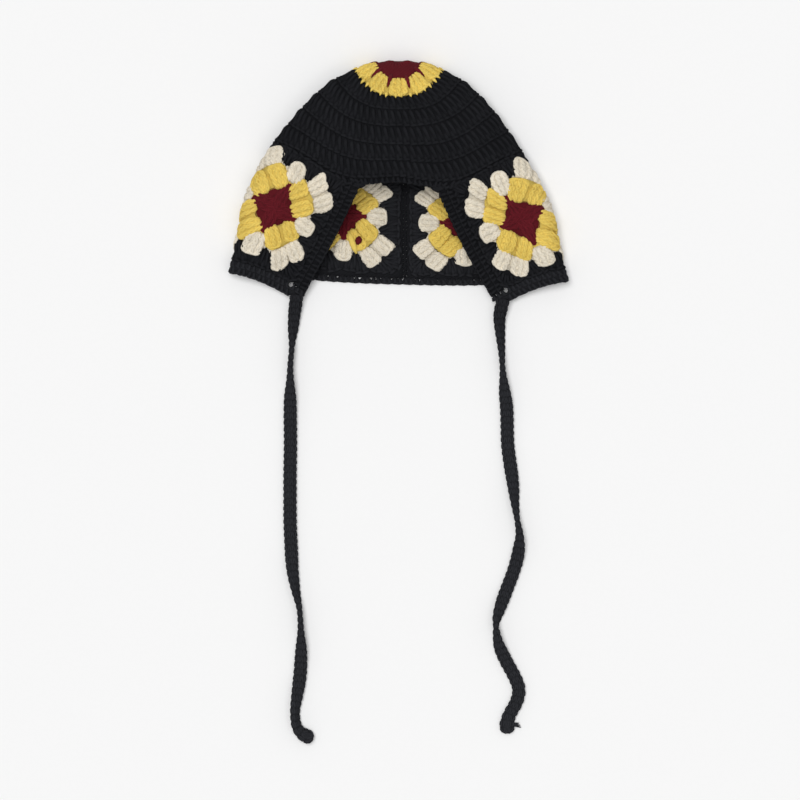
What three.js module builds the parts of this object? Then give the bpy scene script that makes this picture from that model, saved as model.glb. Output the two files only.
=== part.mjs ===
// A crocheted bonnet: a round crown, a band of four granny squares, an edging all round and two ties.
// It lies on its back on z = 0 with the crown towards +Y and the face opening upwards. Millimetres.
import * as THREE from "three";
import { mergeVertices } from "three/addons/utils/BufferGeometryUtils.js";

// Driving dimensions
const WALL = 4.5; // thickness of the crocheted cloth
const GAP = 0.4; // between neighbouring pieces
const FLOOR = WALL / 2; // height of the cloth's middle where it lies flat
const TOP_Y = 100.75; // the middle of the cloth at the crown's top edge
// The bonnet lies turned a little, its right side lower: by how much per millimetre across.
const TILT = { pole: 0, rim: 0.046, neck: 0.026 };
const BACK_SHIFT = 5.5; // how far to the right the seam of the back lies
const POLE_Z = 22; // height of the crown's middle, on the top edge
const TURN = 0.45; // how soon the cloth under a side fold lies flat, as a share of the turn
const DIP_POWER = 1.47; // where along a line round the crown it dips towards the face corner
const EDGING_WIDTH = 5; // the row of stitches round the face and behind the neck
const FLAP_EDGING = 11; // the rows along the lower side of the side squares
const CORNER_LEAN = 0.8; // how the strip leans in beside the corners of the face opening
const CHEEK_EDGING = 12; // the rows along the front side of the side squares
const SEAM_WIDTH = 3; // the join between two squares
const TIE_DIAMETER = 9;
const SWELL = 0.7; // how far each black round of the crown stands out between its grooves

// The crown: one row for each line round it. radius is along the cloth; drop is how far a point
// lies below the top edge, where the line crosses the side fold, in front and behind.
const CROWN_ROWS = [
  { radius: 10, foldX: 10.5, foldDrop: 0.3, frontDrop: 3.8, backDrop: 2.5, frontZ: 29.5, foldZ: 21.8, backZ: 14.5, dip: 0 },
  { radius: 20, foldX: 18.5, foldDrop: 1.6, frontDrop: 14.4, backDrop: 10, frontZ: 38, foldZ: 21, backZ: 6.5, dip: 0 },
  { radius: 37, foldX: 35.5, foldDrop: 7, frontDrop: 29.3, backDrop: 22, frontZ: 46, foldZ: 19.5, backZ: FLOOR, dip: 0 },
  { radius: 50.4, foldX: 53, foldDrop: 14.8, frontDrop: 41.5, backDrop: 33.5, frontZ: 51, foldZ: 18, backZ: FLOOR, dip: 0 },
  { radius: 63.8, foldX: 67.6, foldDrop: 26.8, frontDrop: 55.6, backDrop: 45, frontZ: 54, foldZ: 17, backZ: FLOOR, dip: 0 },
  { radius: 77.2, foldX: 80.7, foldDrop: 40.4, frontDrop: 70.7, backDrop: 56, frontZ: 54.5, foldZ: 16, backZ: FLOOR, dip: 0.6 },
  { radius: 90.6, foldX: 92.6, foldDrop: 55.6, frontDrop: 83.7, backDrop: 67, frontZ: 52.5, foldZ: 15.5, backZ: FLOOR, dip: 2 },
  { radius: 104, foldX: 103.9, foldDrop: 70.8, frontDrop: 97.1, backDrop: 78, frontZ: 48, foldZ: 15, backZ: FLOOR, dip: 4 },
];
const CENTRE_RADIUS = CROWN_ROWS[1].radius;
const RING_RADIUS = CROWN_ROWS[2].radius;
const RIM_RADIUS = CROWN_ROWS[7].radius;
const ROUND_HEIGHT = CROWN_ROWS[3].radius - RING_RADIUS;

// The band of squares, from the crown's rim (down 0) to the neck (down 1), for one half of the
// bonnet: the front edge, the middle of the side square, the side fold, the corner between the
// side and the back square, and the seam in the middle of the back.
const BAND_ROWS = [
  { down: 0, edgeX: 41.5, edgeDrop: 99.2, edgeZ: 46, midX: 79, midDrop: 82.2, midZ: 35.5, foldX: 103.9, foldDrop: 70.8, foldZ: 15, cornerX: 97, backDrop: 78 },
  { down: 0.5, edgeX: 66, edgeDrop: 148.8, edgeZ: 23, midX: 105, midDrop: 126.9, midZ: 28.5, foldX: 126.7, foldDrop: 118.8, foldZ: 14, cornerX: 101, backDrop: 130 },
  { down: 1, edgeX: 88.8, edgeDrop: 189.6, edgeZ: 11, midX: 129.5, midDrop: 173, midZ: 19, foldX: 139.8, foldDrop: 171, foldZ: 12, cornerX: 105, backDrop: 182 },
];

// The outlines of a square's coloured rounds as shares of its half width, along the way from the
// middle of a side to a corner in equal steps: clusters reach out, and the next round dips between.
const STAR_OUTLINE = [0.41, 0.38, 0.33, 0.29, 0.26, 0.235, 0.22];
const RING_OUTLINE = [0.5, 0.57, 0.64, 0.66, 0.64, 0.59, 0.53];
const PETAL_OUTLINE = [0.83, 0.8, 0.68, 0.81, 0.87, 0.85, 0.77];
const SQUARE_OUTLINE = [1, 1, 1, 1, 1, 1, 1];
const STEPS = STAR_OUTLINE.length - 1; // from the middle of a side to a corner
const SQUARE_HALF = 50; // half the width of a square, which turns a gap into a share

// The ties, as they lie: across, drop below the bonnet's top edge, and height of each point.
const TIE_ROUTES = {
  left: [
    [-86.8, 201.2, 9.8], [-87.3, 206, 8.5], [-88.2, 213, 6.6], [-89.4, 226, 5], [-90.6, 243, 4.8],
    [-92, 262, 4.8], [-92, 292, 4.8], [-91.8, 323, 4.8], [-92.2, 354, 4.8], [-92.2, 385, 4.8],
    [-91.2, 412, 4.8], [-90.2, 436, 4.8], [-87.2, 453, 4.8], [-84, 465, 4.8], [-83, 480, 4.8],
    [-82.6, 500, 4.8], [-83.4, 525, 4.8], [-86, 542, 4.8], [-88, 556, 4.8], [-86.2, 566.5, 4.8],
    [-80.6, 573.2, 4.8], [-72.5, 574.6, 4.8],
  ],
  right: [
    [87.9, 205.9, 9.4], [86.4, 212, 7.8], [85.6, 218, 6.2], [86.3, 230, 4.8], [87.6, 246, 4.8],
    [88.6, 264, 4.8], [90, 279, 4.8], [92, 296, 4.8], [92.6, 323, 4.8], [94.6, 340, 4.8],
    [97.2, 358, 4.8], [98.8, 374, 4.8], [101, 390, 4.8], [103, 404, 4.8], [101.6, 418, 4.8],
    [98, 432, 4.8], [92, 448, 4.8], [86.2, 464, 4.8], [82.6, 478, 4.8], [84.4, 492, 4.8],
    [90.8, 508, 4.8], [98.4, 522, 4.8], [102.6, 534, 4.8], [99.4, 546, 4.8], [94.4, 554, 4.8],
    [92.2, 562, 4.8], [92.4, 570.5, 4.8],
  ],
};
const TIE_STEPS = 34;
const TIE_SIDES = 8;

const COLOURS = {
  burgundy: { color: 0x5c1520, roughness: 0.95, metalness: 0 },
  yellow: { color: 0xdcbb3c, roughness: 0.95, metalness: 0 },
  cream: { color: 0xdcd3c4, roughness: 0.95, metalness: 0 },
  black: { color: 0x1b1d22, roughness: 0.95, metalness: 0 },
};

// A smooth curve through the points of a table that never overshoots them, and goes straight on past them.
function curve(xs, ys) {
  const slopes = xs.slice(1).map((x, i) => (ys[i + 1] - ys[i]) / (x - xs[i]));
  const tangents = xs.map((_, i) => {
    const before = slopes[Math.max(i - 1, 0)];
    const after = slopes[Math.min(i, slopes.length - 1)];
    return before * after <= 0 ? 0 : (2 * before * after) / (before + after);
  });
  const last = xs.length - 1;
  return (x) => {
    if (x <= xs[0]) return ys[0] + tangents[0] * (x - xs[0]);
    if (x >= xs[last]) return ys[last] + tangents[last] * (x - xs[last]);
    const i = xs.findIndex((knot) => knot > x) - 1;
    const step = xs[i + 1] - xs[i];
    const t = (x - xs[i]) / step;
    return (
      (1 + 2 * t) * (1 - t) ** 2 * ys[i] +
      t * (1 - t) ** 2 * step * tangents[i] +
      t * t * (3 - 2 * t) * ys[i + 1] -
      t * t * (1 - t) * step * tangents[i + 1]
    );
  };
}

// A column of the crown's table as a curve from the rim behind, over the pole, to the rim in front.
function overThePole(behind, pole, inFront) {
  const back = [...CROWN_ROWS].reverse();
  return curve(
    [...back.map((row) => -row.radius), 0, ...CROWN_ROWS.map((row) => row.radius)],
    [...back.map(behind), pole, ...CROWN_ROWS.map(inFront)],
  );
}
const profileDrop = overThePole((row) => row.backDrop, 0, (row) => row.frontDrop);
const profileZ = overThePole((row) => row.backZ, POLE_Z, (row) => row.frontZ);
const foldX = overThePole((row) => -row.foldX, 0, (row) => row.foldX);
const foldDrop = overThePole((row) => row.foldDrop, 0, (row) => row.foldDrop);
const foldZ = overThePole((row) => row.foldZ, POLE_Z, (row) => row.foldZ);
const cornerDip = overThePole((row) => row.dip, 0, (row) => row.dip);

// The half of a line that lies under the bonnet, from the side fold to the middle of the back.
function underside(fold, backDrop, backZ, across, facing) {
  return {
    x: fold.x * across,
    shift: BACK_SHIFT * facing ** 2,
    drop: fold.drop + (backDrop - fold.drop) * (1 - across ** 3),
    z: backZ + (fold.z - backZ) * Math.max(0, 1 + facing / TURN) ** 2,
  };
}

// A line round the crown at a radius, as a function of the angle from the front (0) to the back (pi).
function crownLine(radius) {
  const fold = { x: foldX(radius), drop: foldDrop(radius), z: foldZ(radius) };
  return (angle) => {
    const across = Math.max(Math.sin(angle), 0);
    const facing = Math.cos(angle);
    if (facing < 0) return underside(fold, profileDrop(-radius), profileZ(-radius), across, facing);
    const dip = cornerDip(radius) * Math.sin(2 * Math.PI * across ** DIP_POWER);
    return {
      x: fold.x * across,
      shift: 0,
      drop: fold.drop + (profileDrop(radius) - fold.drop) * (1 - across ** 3) + dip,
      z: fold.z + (profileZ(radius) - fold.z) * facing,
    };
  };
}

const bandColumn = Object.fromEntries(
  Object.keys(BAND_ROWS[0]).map((name) => [
    name,
    curve(BAND_ROWS.map((row) => row.down), BAND_ROWS.map((row) => row[name])),
  ]),
);

// A line round the band, from the front edge to the seam of the back, and the angles of the side
// square's middle and of the corner between the squares.
function bandLine(down) {
  const row = Object.fromEntries(Object.entries(bandColumn).map(([name, at]) => [name, at(down)]));
  const fold = { x: row.foldX, drop: row.foldDrop, z: row.foldZ };
  const mid = (row.midX - row.edgeX) / (row.foldX - row.edgeX);
  const bend = ((row.midDrop - row.edgeDrop) / mid - (row.foldDrop - row.edgeDrop)) / (mid - 1);
  const rise = Math.sqrt(1 - mid ** 2);
  const cubic = ((row.midZ - row.foldZ) / rise - (row.edgeZ - row.foldZ)) / (rise ** 2 - 1);
  const line = (angle) => {
    const across = Math.max(Math.sin(angle), 0);
    const facing = Math.cos(angle);
    if (facing < 0) return underside(fold, row.backDrop, FLOOR, across, facing);
    return {
      x: row.edgeX + (row.foldX - row.edgeX) * across,
      shift: 0,
      drop: row.edgeDrop + across * (row.foldDrop - row.edgeDrop) + bend * across * (across - 1),
      z: row.foldZ + facing * (row.edgeZ - row.foldZ) + cubic * facing * (facing ** 2 - 1),
    };
  };
  return { line, middle: Math.asin(mid), corner: Math.PI - Math.asin(row.cornerX / row.foldX) };
}

// A line measured along its length, so that stitches can be spaced evenly on it.
function measured(line) {
  const count = 160;
  const lengths = [0];
  let before = line(0);
  for (let i = 1; i <= count; i++) {
    const point = line((i / count) * Math.PI);
    lengths.push(lengths[i - 1] + Math.hypot(point.x - before.x, point.drop - before.drop, point.z - before.z));
    before = point;
  }
  const lengthAt = (angle) => {
    const i = Math.min((angle / Math.PI) * count, count - 1e-9);
    const low = Math.floor(i);
    return lengths[low] + (i - low) * (lengths[low + 1] - lengths[low]);
  };
  const angleAt = (length) => {
    let low = lengths.findIndex((value) => value > length) - 1;
    if (low < 0) low = length <= 0 ? 0 : count - 1;
    return ((low + (length - lengths[low]) / (lengths[low + 1] - lengths[low])) / count) * Math.PI;
  };
  return { total: lengths[count], lengthAt, at: (length) => line(angleAt(length)) };
}

// Lines are worked out once for each radius or height.
function remembered(make) {
  const known = new Map();
  return (key) => {
    const rounded = Math.round(key * 1e4) / 1e4;
    if (!known.has(rounded)) known.set(rounded, make(rounded));
    return known.get(rounded);
  };
}
const crownMeasured = remembered((radius) => measured(crownLine(radius)));
const bandMeasured = remembered((down) => {
  const { line, middle, corner } = bandLine(down);
  const track = measured(line);
  return { track, knots: [0, track.lengthAt(middle), track.lengthAt(corner), track.total] };
});

function placed(side, point, tilt) {
  const x = side * point.x + point.shift;
  return new THREE.Vector3(x, TOP_Y - point.drop - tilt * x, point.z);
}
const crownTilt = (radius) => TILT.pole + (TILT.rim - TILT.pole) * (radius / RIM_RADIUS) ** 2;
const bandTilt = (down) => TILT.rim + (TILT.neck - TILT.rim) * down ** 2;

// A point of the crown: turn goes from 0 at the front to 1 at the back, negative on the left.
function crownPoint(turn, radius) {
  const track = crownMeasured(radius);
  return placed(Math.sign(turn) || 1, track.at(Math.abs(turn) * track.total), crownTilt(radius));
}

// How far along a line of the band a column lies: 0 is the front edge, 1 the corner, 2 the back seam.
function along(knots, column) {
  const [edge, middle, corner, seam] = knots;
  if (column < 0.5) return edge + (middle - edge) * (column / 0.5);
  if (column < 1) return middle + (corner - middle) * ((column - 0.5) / 0.5);
  return corner + (seam - corner) * (column - 1);
}

// Where on the crown's rim a column of the band meets it.
function rimTurn(column) {
  const rim = crownMeasured(RIM_RADIUS);
  const start = rim.lengthAt(Math.asin(BAND_ROWS[0].edgeX / BAND_ROWS[0].foldX));
  const { track, knots } = bandMeasured(0);
  return (start + (rim.total - start) * (along(knots, column) / track.total)) / rim.total;
}

// A point of the band on one side, which meets the crown's rim exactly at the top.
function bandPoint(side, column, down) {
  const { track, knots } = bandMeasured(down);
  const point = placed(side, track.at(along(knots, column)), bandTilt(down));
  const top = bandMeasured(0);
  const apart = crownPoint(side * rimTurn(column), RIM_RADIUS).sub(
    placed(side, top.track.at(along(top.knots, column)), TILT.rim),
  );
  return point.addScaledVector(apart, Math.max(0, 1 - down) ** 2);
}

// A place on a surface: the point, the outward normal and the two directions along the cloth.
function place(surface, s, t, side, step) {
  const [ds, dt] = step;
  const across = surface(s + ds, t).sub(surface(s - ds, t)).normalize();
  const down = surface(s, t + dt).sub(surface(s, t - dt)).normalize();
  const normal = new THREE.Vector3().crossVectors(down, across).multiplyScalar(side).normalize();
  return { point: surface(s, t), normal, across, down };
}
const crownPlace = (turn, radius) => place(crownPoint, turn, radius, 1, [0.004, 0.2]);
// Along the crown's rim the band stands square to the cloth as the crown does, so the two meet evenly.
function bandPlace(side, column, down) {
  const spot = place((s, t) => bandPoint(side, s, t), column, down, side, [0.004, 0.004]);
  if (down > 1e-6) return spot;
  return { ...spot, normal: crownPlace(side * rimTurn(column), RIM_RADIUS).normal };
}

// A solid of cloth from rows of places, with half the wall to each side. A ring closes on itself;
// a centre closes the first row of a ring with a fan.
function cloth(rows, { ring = false, centre = null } = {}) {
  const position = [];
  const triangles = [];
  const add = (spot, side) => {
    position.push(...spot.point.clone().addScaledVector(spot.normal, (side * WALL) / 2).toArray());
    return position.length / 3 - 1;
  };
  const outer = rows.map((row) => row.map((spot) => add(spot, 1)));
  const inner = rows.map((row) => row.map((spot) => add(spot, -1)));
  const quad = (a, b, c, d) => triangles.push(a, b, c, a, c, d);
  const columns = rows[0].length;
  const spans = ring ? columns : columns - 1;
  const last = rows.length - 1;
  for (let i = 0; i < spans; i++) {
    const next = (i + 1) % columns;
    for (let j = 0; j < last; j++) {
      quad(outer[j][i], outer[j + 1][i], outer[j + 1][next], outer[j][next]);
      quad(inner[j][i], inner[j][next], inner[j + 1][next], inner[j + 1][i]);
    }
    quad(outer[last][i], inner[last][i], inner[last][next], outer[last][next]);
    if (!centre) quad(outer[0][i], outer[0][next], inner[0][next], inner[0][i]);
  }
  if (centre) {
    const [top, bottom] = [add(centre, 1), add(centre, -1)];
    for (let i = 0; i < columns; i++) {
      const next = (i + 1) % columns;
      triangles.push(top, outer[0][i], outer[0][next], bottom, inner[0][next], inner[0][i]);
    }
  }
  if (!ring) {
    for (let j = 0; j < last; j++) {
      quad(outer[j][0], inner[j][0], inner[j + 1][0], outer[j + 1][0]);
      quad(outer[j][spans], outer[j + 1][spans], inner[j + 1][spans], inner[j][spans]);
    }
  }
  const geometry = new THREE.BufferGeometry();
  geometry.setAttribute("position", new THREE.Float32BufferAttribute(position, 3));
  geometry.setIndex(triangles);
  return geometry;
}

function piece(name, geometry, colour) {
  geometry.computeVertexNormals();
  const mesh = new THREE.Mesh(geometry, new THREE.MeshStandardMaterial(COLOURS[colour]));
  mesh.name = name;
  return mesh;
}

// The columns round the crown: the same places as the steps along the tops of the squares.
function crownTurns() {
  const front = [0, 0.25, 0.5, 0.75].map((share) => share * rimTurn(0));
  const overSquares = [];
  for (let step = 0; step <= 4 * STEPS; step++) overSquares.push(rimTurn(sideStep(step)));
  const right = [...front, ...overSquares];
  const left = right.slice(1, -1).reverse().map((turn) => -turn);
  return [...right, ...left];
}

// The column of a step along the top of two squares, spaced as the squares' own outlines are.
function sideStep(step) {
  return step / (2 * STEPS);
}

// The rows of a ring of the crown. The first and last keep half a gap from the lines they end on.
function crownRing(fromRadius, toRadius, subdivisions, gapBefore = GAP / 2, gapAfter = GAP / 2) {
  const rows = [];
  for (let j = 0; j <= subdivisions; j++) {
    const radius = fromRadius + ((toRadius - fromRadius) * j) / subdivisions;
    const shift = (j === 0 ? gapBefore : 0) - (j === subdivisions ? gapAfter : 0);
    rows.push(crownTurns().map((turn) => moved(crownPlace(turn, radius), shift)));
  }
  return rows;
}

// A place moved along the cloth, away from the crown's middle.
function moved(spot, distance) {
  return { ...spot, point: spot.point.clone().addScaledVector(spot.down, distance) };
}

function crownCentre() {
  const rows = crownRing(CENTRE_RADIUS / 2, CENTRE_RADIUS, 1, 0, GAP);
  const upper = crownPoint(0, 1);
  const lower = crownPoint(1, 1);
  const normal = new THREE.Vector3(0, 1, 0);
  const point = upper.add(lower).multiplyScalar(0.5);
  return piece("crown_centre", cloth(rows, { ring: true, centre: { point, normal } }), "burgundy");
}

function crownColourRing() {
  const rows = crownRing(CENTRE_RADIUS, RING_RADIUS, 1, GAP);
  return piece("crown_ring", cloth(rows, { ring: true }), "yellow");
}

// Where the cloth lies flat it has no room to stand out.
function swell(spot) {
  spot.point.addScaledVector(spot.normal, SWELL * Math.min(1, 1 + spot.normal.z));
}

// The black rounds of the crown, each swelling a little between the grooves beside it.
function crownDome() {
  const rounds = Math.round((RIM_RADIUS - RING_RADIUS) / ROUND_HEIGHT);
  const rows = crownRing(RING_RADIUS, RIM_RADIUS, 2 * rounds, GAP / 2, GAP);
  rows.forEach((row, j) => j % 2 && row.forEach(swell));
  return piece("crown_dome", cloth(rows, { ring: true }), "black");
}

// The places along an outline of a square, from its centre by the given shares, moved out by a gap.
function outline(square, shares, gap) {
  const spots = [];
  for (let quarter = 0; quarter < 4; quarter++) {
    for (let step = -STEPS; step < STEPS; step++) {
      const share = shares[Math.abs(step)];
      const spot = squarePlace(square, ...turned([(share * step) / STEPS, share], quarter));
      const out = share + gap / SQUARE_HALF;
      const { point } = squarePlace(square, ...turned([(out * step) / STEPS, out], quarter));
      spots.push({ ...spot, point });
    }
  }
  return spots;
}

function turned([a, b], quarters) {
  return quarters === 0 ? [a, b] : turned([b, -a], quarters - 1);
}

// A place on a square: a goes across from -1 to 1 away from the front, b up from -1 to 1.
function squarePlace(square, a, b) {
  const trim = SEAM_WIDTH / 2 / SQUARE_HALF;
  const column = square.start + ((1 - trim) * a + 1) / 2 + (square.start ? 0 : -trim / 2);
  return bandPlace(square.side, column, (1 - b) / 2);
}

function squareRound(square, name, inside, outside, colour, subdivisions = 1) {
  const rows = [];
  for (let j = 0; j <= subdivisions; j++) {
    const shares = inside.map((share, i) => share + ((outside[i] - share) * j) / subdivisions);
    rows.push(outline(square, shares, (j === 0 ? GAP / 2 : 0) - (j === subdivisions ? GAP / 2 : 0)));
  }
  if (square.side > 0) rows.forEach((row) => row.reverse());
  return piece(`${square.name}_${name}`, cloth(rows, { ring: true }), colour);
}

function squareStar(square) {
  const rows = [outline(square, STAR_OUTLINE, -GAP / 2)];
  if (square.side > 0) rows.forEach((row) => row.reverse());
  const centre = squarePlace(square, 0, 0);
  return piece(`${square.name}_star`, cloth(rows, { ring: true, centre }), "burgundy");
}

function grannySquare(square) {
  const group = new THREE.Group();
  group.add(
    squareStar(square),
    squareRound(square, "inner_round", STAR_OUTLINE, RING_OUTLINE, "yellow", square.start ? 1 : 3),
    squareRound(square, "outer_round", RING_OUTLINE, PETAL_OUTLINE, "cream", square.start ? 1 : 2),
    squareRound(square, "border", PETAL_OUTLINE, SQUARE_OUTLINE, "black"),
  );
  return group;
}

// The join between two squares, from the crown's rim down to the neck.
function seam(name, side, column) {
  const half = (SEAM_WIDTH / 2 - GAP) / (2 * SQUARE_HALF);
  const rows = [];
  for (let j = 0; j <= 2 * STEPS; j++) {
    const down = 0.008 + (j / (2 * STEPS)) * 0.984;
    rows.push([seamPlace(side, column - half, down), seamPlace(side, column + half, down)]);
  }
  if (side < 0) rows.forEach((row) => row.reverse());
  return piece(name, cloth(rows), "black");
}

// A place beside a join; past the middle of the back it lies on the other side.
function seamPlace(side, column, down) {
  return column > 2 ? bandPlace(-side, 4 - column, down) : bandPlace(side, column, down);
}

// A strip along an edge: each spot of the edge has the direction out of the cloth and the width there.
function edging(name, edge) {
  const rows = edge.map(({ spot, out, width = EDGING_WIDTH }) => {
    const at = (distance) => ({ point: spot.point.clone().addScaledVector(out, distance), normal: spot.normal });
    return [at(GAP), at(GAP + width)];
  });
  return piece(name, cloth(rows), "black");
}

function faceEdge(side) {
  const spots = [];
  for (let j = 2 * STEPS; j >= 1; j--) {
    const spot = bandPlace(side, 0, j / (2 * STEPS));
    spots.push({ spot, out: spot.across.clone().negate(), width: CHEEK_EDGING });
  }
  return spots;
}

// The way from a corner of the edge to where a strip of one width below it meets one of another beside it.
function corneredOut(down, beside) {
  const overlap = down.dot(beside);
  const alongDown = (EDGING_WIDTH - CHEEK_EDGING * overlap) / (1 - overlap ** 2);
  const alongBeside = (CHEEK_EDGING - EDGING_WIDTH * overlap) / (1 - overlap ** 2);
  return down.clone().multiplyScalar(alongDown).addScaledVector(beside, alongBeside);
}

function faceEdging() {
  const corner = (side) => {
    const spot = crownPlace(side * rimTurn(0), RIM_RADIUS);
    const beside = bandPlace(side, 0, 0.06).across.clone().negate();
    const reach = corneredOut(spot.down, beside);
    return { spot, out: reach.clone().normalize(), width: reach.length() };
  };
  const rim = [];
  for (let j = -3; j <= 3; j++) {
    const spot = crownPlace((-j / 4) * rimTurn(0), RIM_RADIUS);
    const inward = new THREE.Vector3(Math.abs(j) === 3 ? -Math.sign(spot.point.x) : 0, 0, 0);
    rim.push({ spot, out: spot.down.clone().addScaledVector(inward, CORNER_LEAN) });
  }
  const edge = [...faceEdge(1), corner(1), ...rim, corner(-1), ...faceEdge(-1).reverse()];
  return edging("face_edging", edge);
}

// The neck edging narrows from the side square's lower side to the back square's.
function neckEdging() {
  const half = (side) => {
    const first = bandPlace(side, 0, 1);
    const point = first.point.clone().addScaledVector(first.across, -CHEEK_EDGING);
    const spots = [{ spot: { ...first, point }, out: first.down, width: EDGING_WIDTH }];
    for (let j = 0; j < 4 * STEPS; j++) {
      const spot = bandPlace(side, sideStep(j), 1);
      const narrowing = Math.min(Math.max((sideStep(j) - 0.75) / 0.5, 0), 1);
      spots.push({ spot, out: spot.down, width: FLAP_EDGING + (EDGING_WIDTH - FLAP_EDGING) * narrowing });
    }
    return spots;
  };
  const middle = bandPlace(1, 2, 1);
  const edge = [...half(1), { spot: middle, out: middle.down }, ...half(-1).reverse()];
  return edging("neck_edging", edge.reverse());
}

function tie(name, route) {
  const path = new THREE.CatmullRomCurve3(
    route.map(([x, drop, z]) => new THREE.Vector3(x, TOP_Y + WALL / 2 - drop, z)),
  );
  const section = new THREE.Shape();
  for (let i = 0; i < TIE_SIDES; i++) {
    const angle = ((i + 0.5) / TIE_SIDES) * 2 * Math.PI;
    const corner = [Math.cos(angle), Math.sin(angle)].map((value) => (value * TIE_DIAMETER) / 2);
    if (i === 0) section.moveTo(...corner);
    else section.lineTo(...corner);
  }
  section.closePath();
  const tube = new THREE.ExtrudeGeometry(section, { steps: TIE_STEPS, extrudePath: path, bevelEnabled: false });
  tube.deleteAttribute("normal");
  tube.deleteAttribute("uv");
  return piece(name, mergeVertices(tube), "black");
}

const SQUARES = [
  { name: "square_side_left", side: -1, start: 0 },
  { name: "square_back_left", side: -1, start: 1 },
  { name: "square_back_right", side: 1, start: 1 },
  { name: "square_side_right", side: 1, start: 0 },
];

const bonnet = new THREE.Group();
bonnet.name = "crochet_bonnet";
bonnet.add(crownCentre(), crownColourRing(), crownDome());
SQUARES.forEach((square) => bonnet.add(grannySquare(square)));
bonnet.add(seam("seam_left", -1, 1), seam("seam_back", 1, 2), seam("seam_right", 1, 1));
bonnet.add(faceEdging(), neckEdging());
bonnet.add(tie("tie_left", TIE_ROUTES.left), tie("tie_right", TIE_ROUTES.right));

export default bonnet;
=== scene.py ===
"""A crochet bonnet lying on its back, stitch by stitch: a black crown, four granny squares, two ties."""

import math
from functools import partial

import bpy
import numpy as np
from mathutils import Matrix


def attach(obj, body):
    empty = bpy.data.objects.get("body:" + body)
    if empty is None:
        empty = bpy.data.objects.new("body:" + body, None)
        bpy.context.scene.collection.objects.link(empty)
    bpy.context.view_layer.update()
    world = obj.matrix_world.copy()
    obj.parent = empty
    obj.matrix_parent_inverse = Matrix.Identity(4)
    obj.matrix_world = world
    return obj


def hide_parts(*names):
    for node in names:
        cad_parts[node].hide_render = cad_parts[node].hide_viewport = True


bl_info = {
    "name": "Crochet bonnet",
    "version": (1, 0, 0),
    "blender": (4, 5, 0),
    "location": "View3D > Sidebar > Bonnet",
    "description": "Builds a crochet bonnet stitch by stitch, with a floor, soft light and a camera",
    "category": "Object",
}

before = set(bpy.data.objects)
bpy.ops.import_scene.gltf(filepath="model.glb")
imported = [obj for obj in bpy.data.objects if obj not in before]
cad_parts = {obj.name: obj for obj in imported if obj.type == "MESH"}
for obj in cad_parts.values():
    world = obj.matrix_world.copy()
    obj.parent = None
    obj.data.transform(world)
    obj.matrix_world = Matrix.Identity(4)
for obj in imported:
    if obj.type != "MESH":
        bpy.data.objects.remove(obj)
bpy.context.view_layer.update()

MM = 0.001

# The cloth's middle surface, in millimetres, the same as the solids'
FLOOR = 2.25  # how high the middle surface is where the cloth lies flat
TOP_Y = 100.75  # where the crown's top fold is
OUTLINE_TOP = 103.0  # the upper end of the bonnet's outline
TILT = {"pole": 0.0, "rim": 0.046, "neck": 0.026}  # how far its lines slant down to the right
BACK_SHIFT = 5.5  # how far the back lies to the right of the front
POLE_Z = 22.0  # how high the crown's middle is
TURN = 0.45  # how soon the cloth behind a side fold comes down flat
DIP_POWER = 1.47  # how far to the side the crown's rounds dip

# Lines round the crown, by their radius on the sheet: how far out their side folds are, how far below the
# bonnet's top edge and how high each place is, and how far the front of the line dips
CROWN_COLUMNS = (
    "radius", "fold_x", "fold_drop", "front_drop", "back_drop", "front_z", "fold_z", "back_z", "dip",
)
CROWN_ROWS = (
    (10.0, 10.5, 0.3, 3.8, 2.5, 29.5, 21.8, 14.5, 0.0),
    (20.0, 18.5, 1.6, 14.4, 10.0, 38.0, 21.0, 6.5, 0.0),
    (37.0, 35.5, 7.0, 29.3, 22.0, 46.0, 19.5, FLOOR, 0.0),
    (50.4, 53.0, 14.8, 41.5, 33.5, 51.0, 18.0, FLOOR, 0.0),
    (63.8, 67.6, 26.8, 55.6, 45.0, 54.0, 17.0, FLOOR, 0.0),
    (77.2, 80.7, 40.4, 70.7, 56.0, 54.5, 16.0, FLOOR, 0.6),
    (90.6, 92.6, 55.6, 83.7, 67.0, 52.5, 15.5, FLOOR, 2.0),
    (104.0, 103.9, 70.8, 97.1, 78.0, 48.0, 15.0, FLOOR, 4.0),
)
RIM_RADIUS = 104.0

# Lines round the band at the rim, halfway and at the neck: the edge of the opening, the middle of a side
# square, the side fold, the corner behind it and the back
BAND_COLUMNS = (
    "down", "edge_x", "edge_drop", "edge_z", "mid_x", "mid_drop", "mid_z",
    "fold_x", "fold_drop", "fold_z", "corner_x", "back_drop",
)
BAND_ROWS = (
    (0.0, 41.5, 99.2, 46.0, 79.0, 82.2, 35.5, 103.9, 70.8, 15.0, 97.0, 78.0),
    (0.5, 66.0, 148.8, 23.0, 105.0, 126.9, 28.5, 126.7, 118.8, 14.0, 101.0, 130.0),
    (1.0, 88.8, 189.6, 11.0, 129.5, 173.0, 19.0, 139.8, 171.0, 12.0, 105.0, 182.0),
)

# The squares, and the outlines of their rounds from the middle of a side to its corner, in shares of the
# half width
SQUARE_HALF = 50.0
STAR_MIDDLE = (0.01, 0.01, 0.01, 0.01, 0.01, 0.01, 0.01)
STAR_OUTLINE = (0.41, 0.38, 0.33, 0.29, 0.26, 0.235, 0.22)
RING_OUTLINE = (0.5, 0.57, 0.64, 0.66, 0.64, 0.59, 0.53)
PETAL_OUTLINE = (0.83, 0.8, 0.68, 0.81, 0.87, 0.85, 0.77)
SQUARE_OUTLINE = (1.0, 1.0, 1.0, 1.0, 1.0, 1.0, 1.0)

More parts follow.
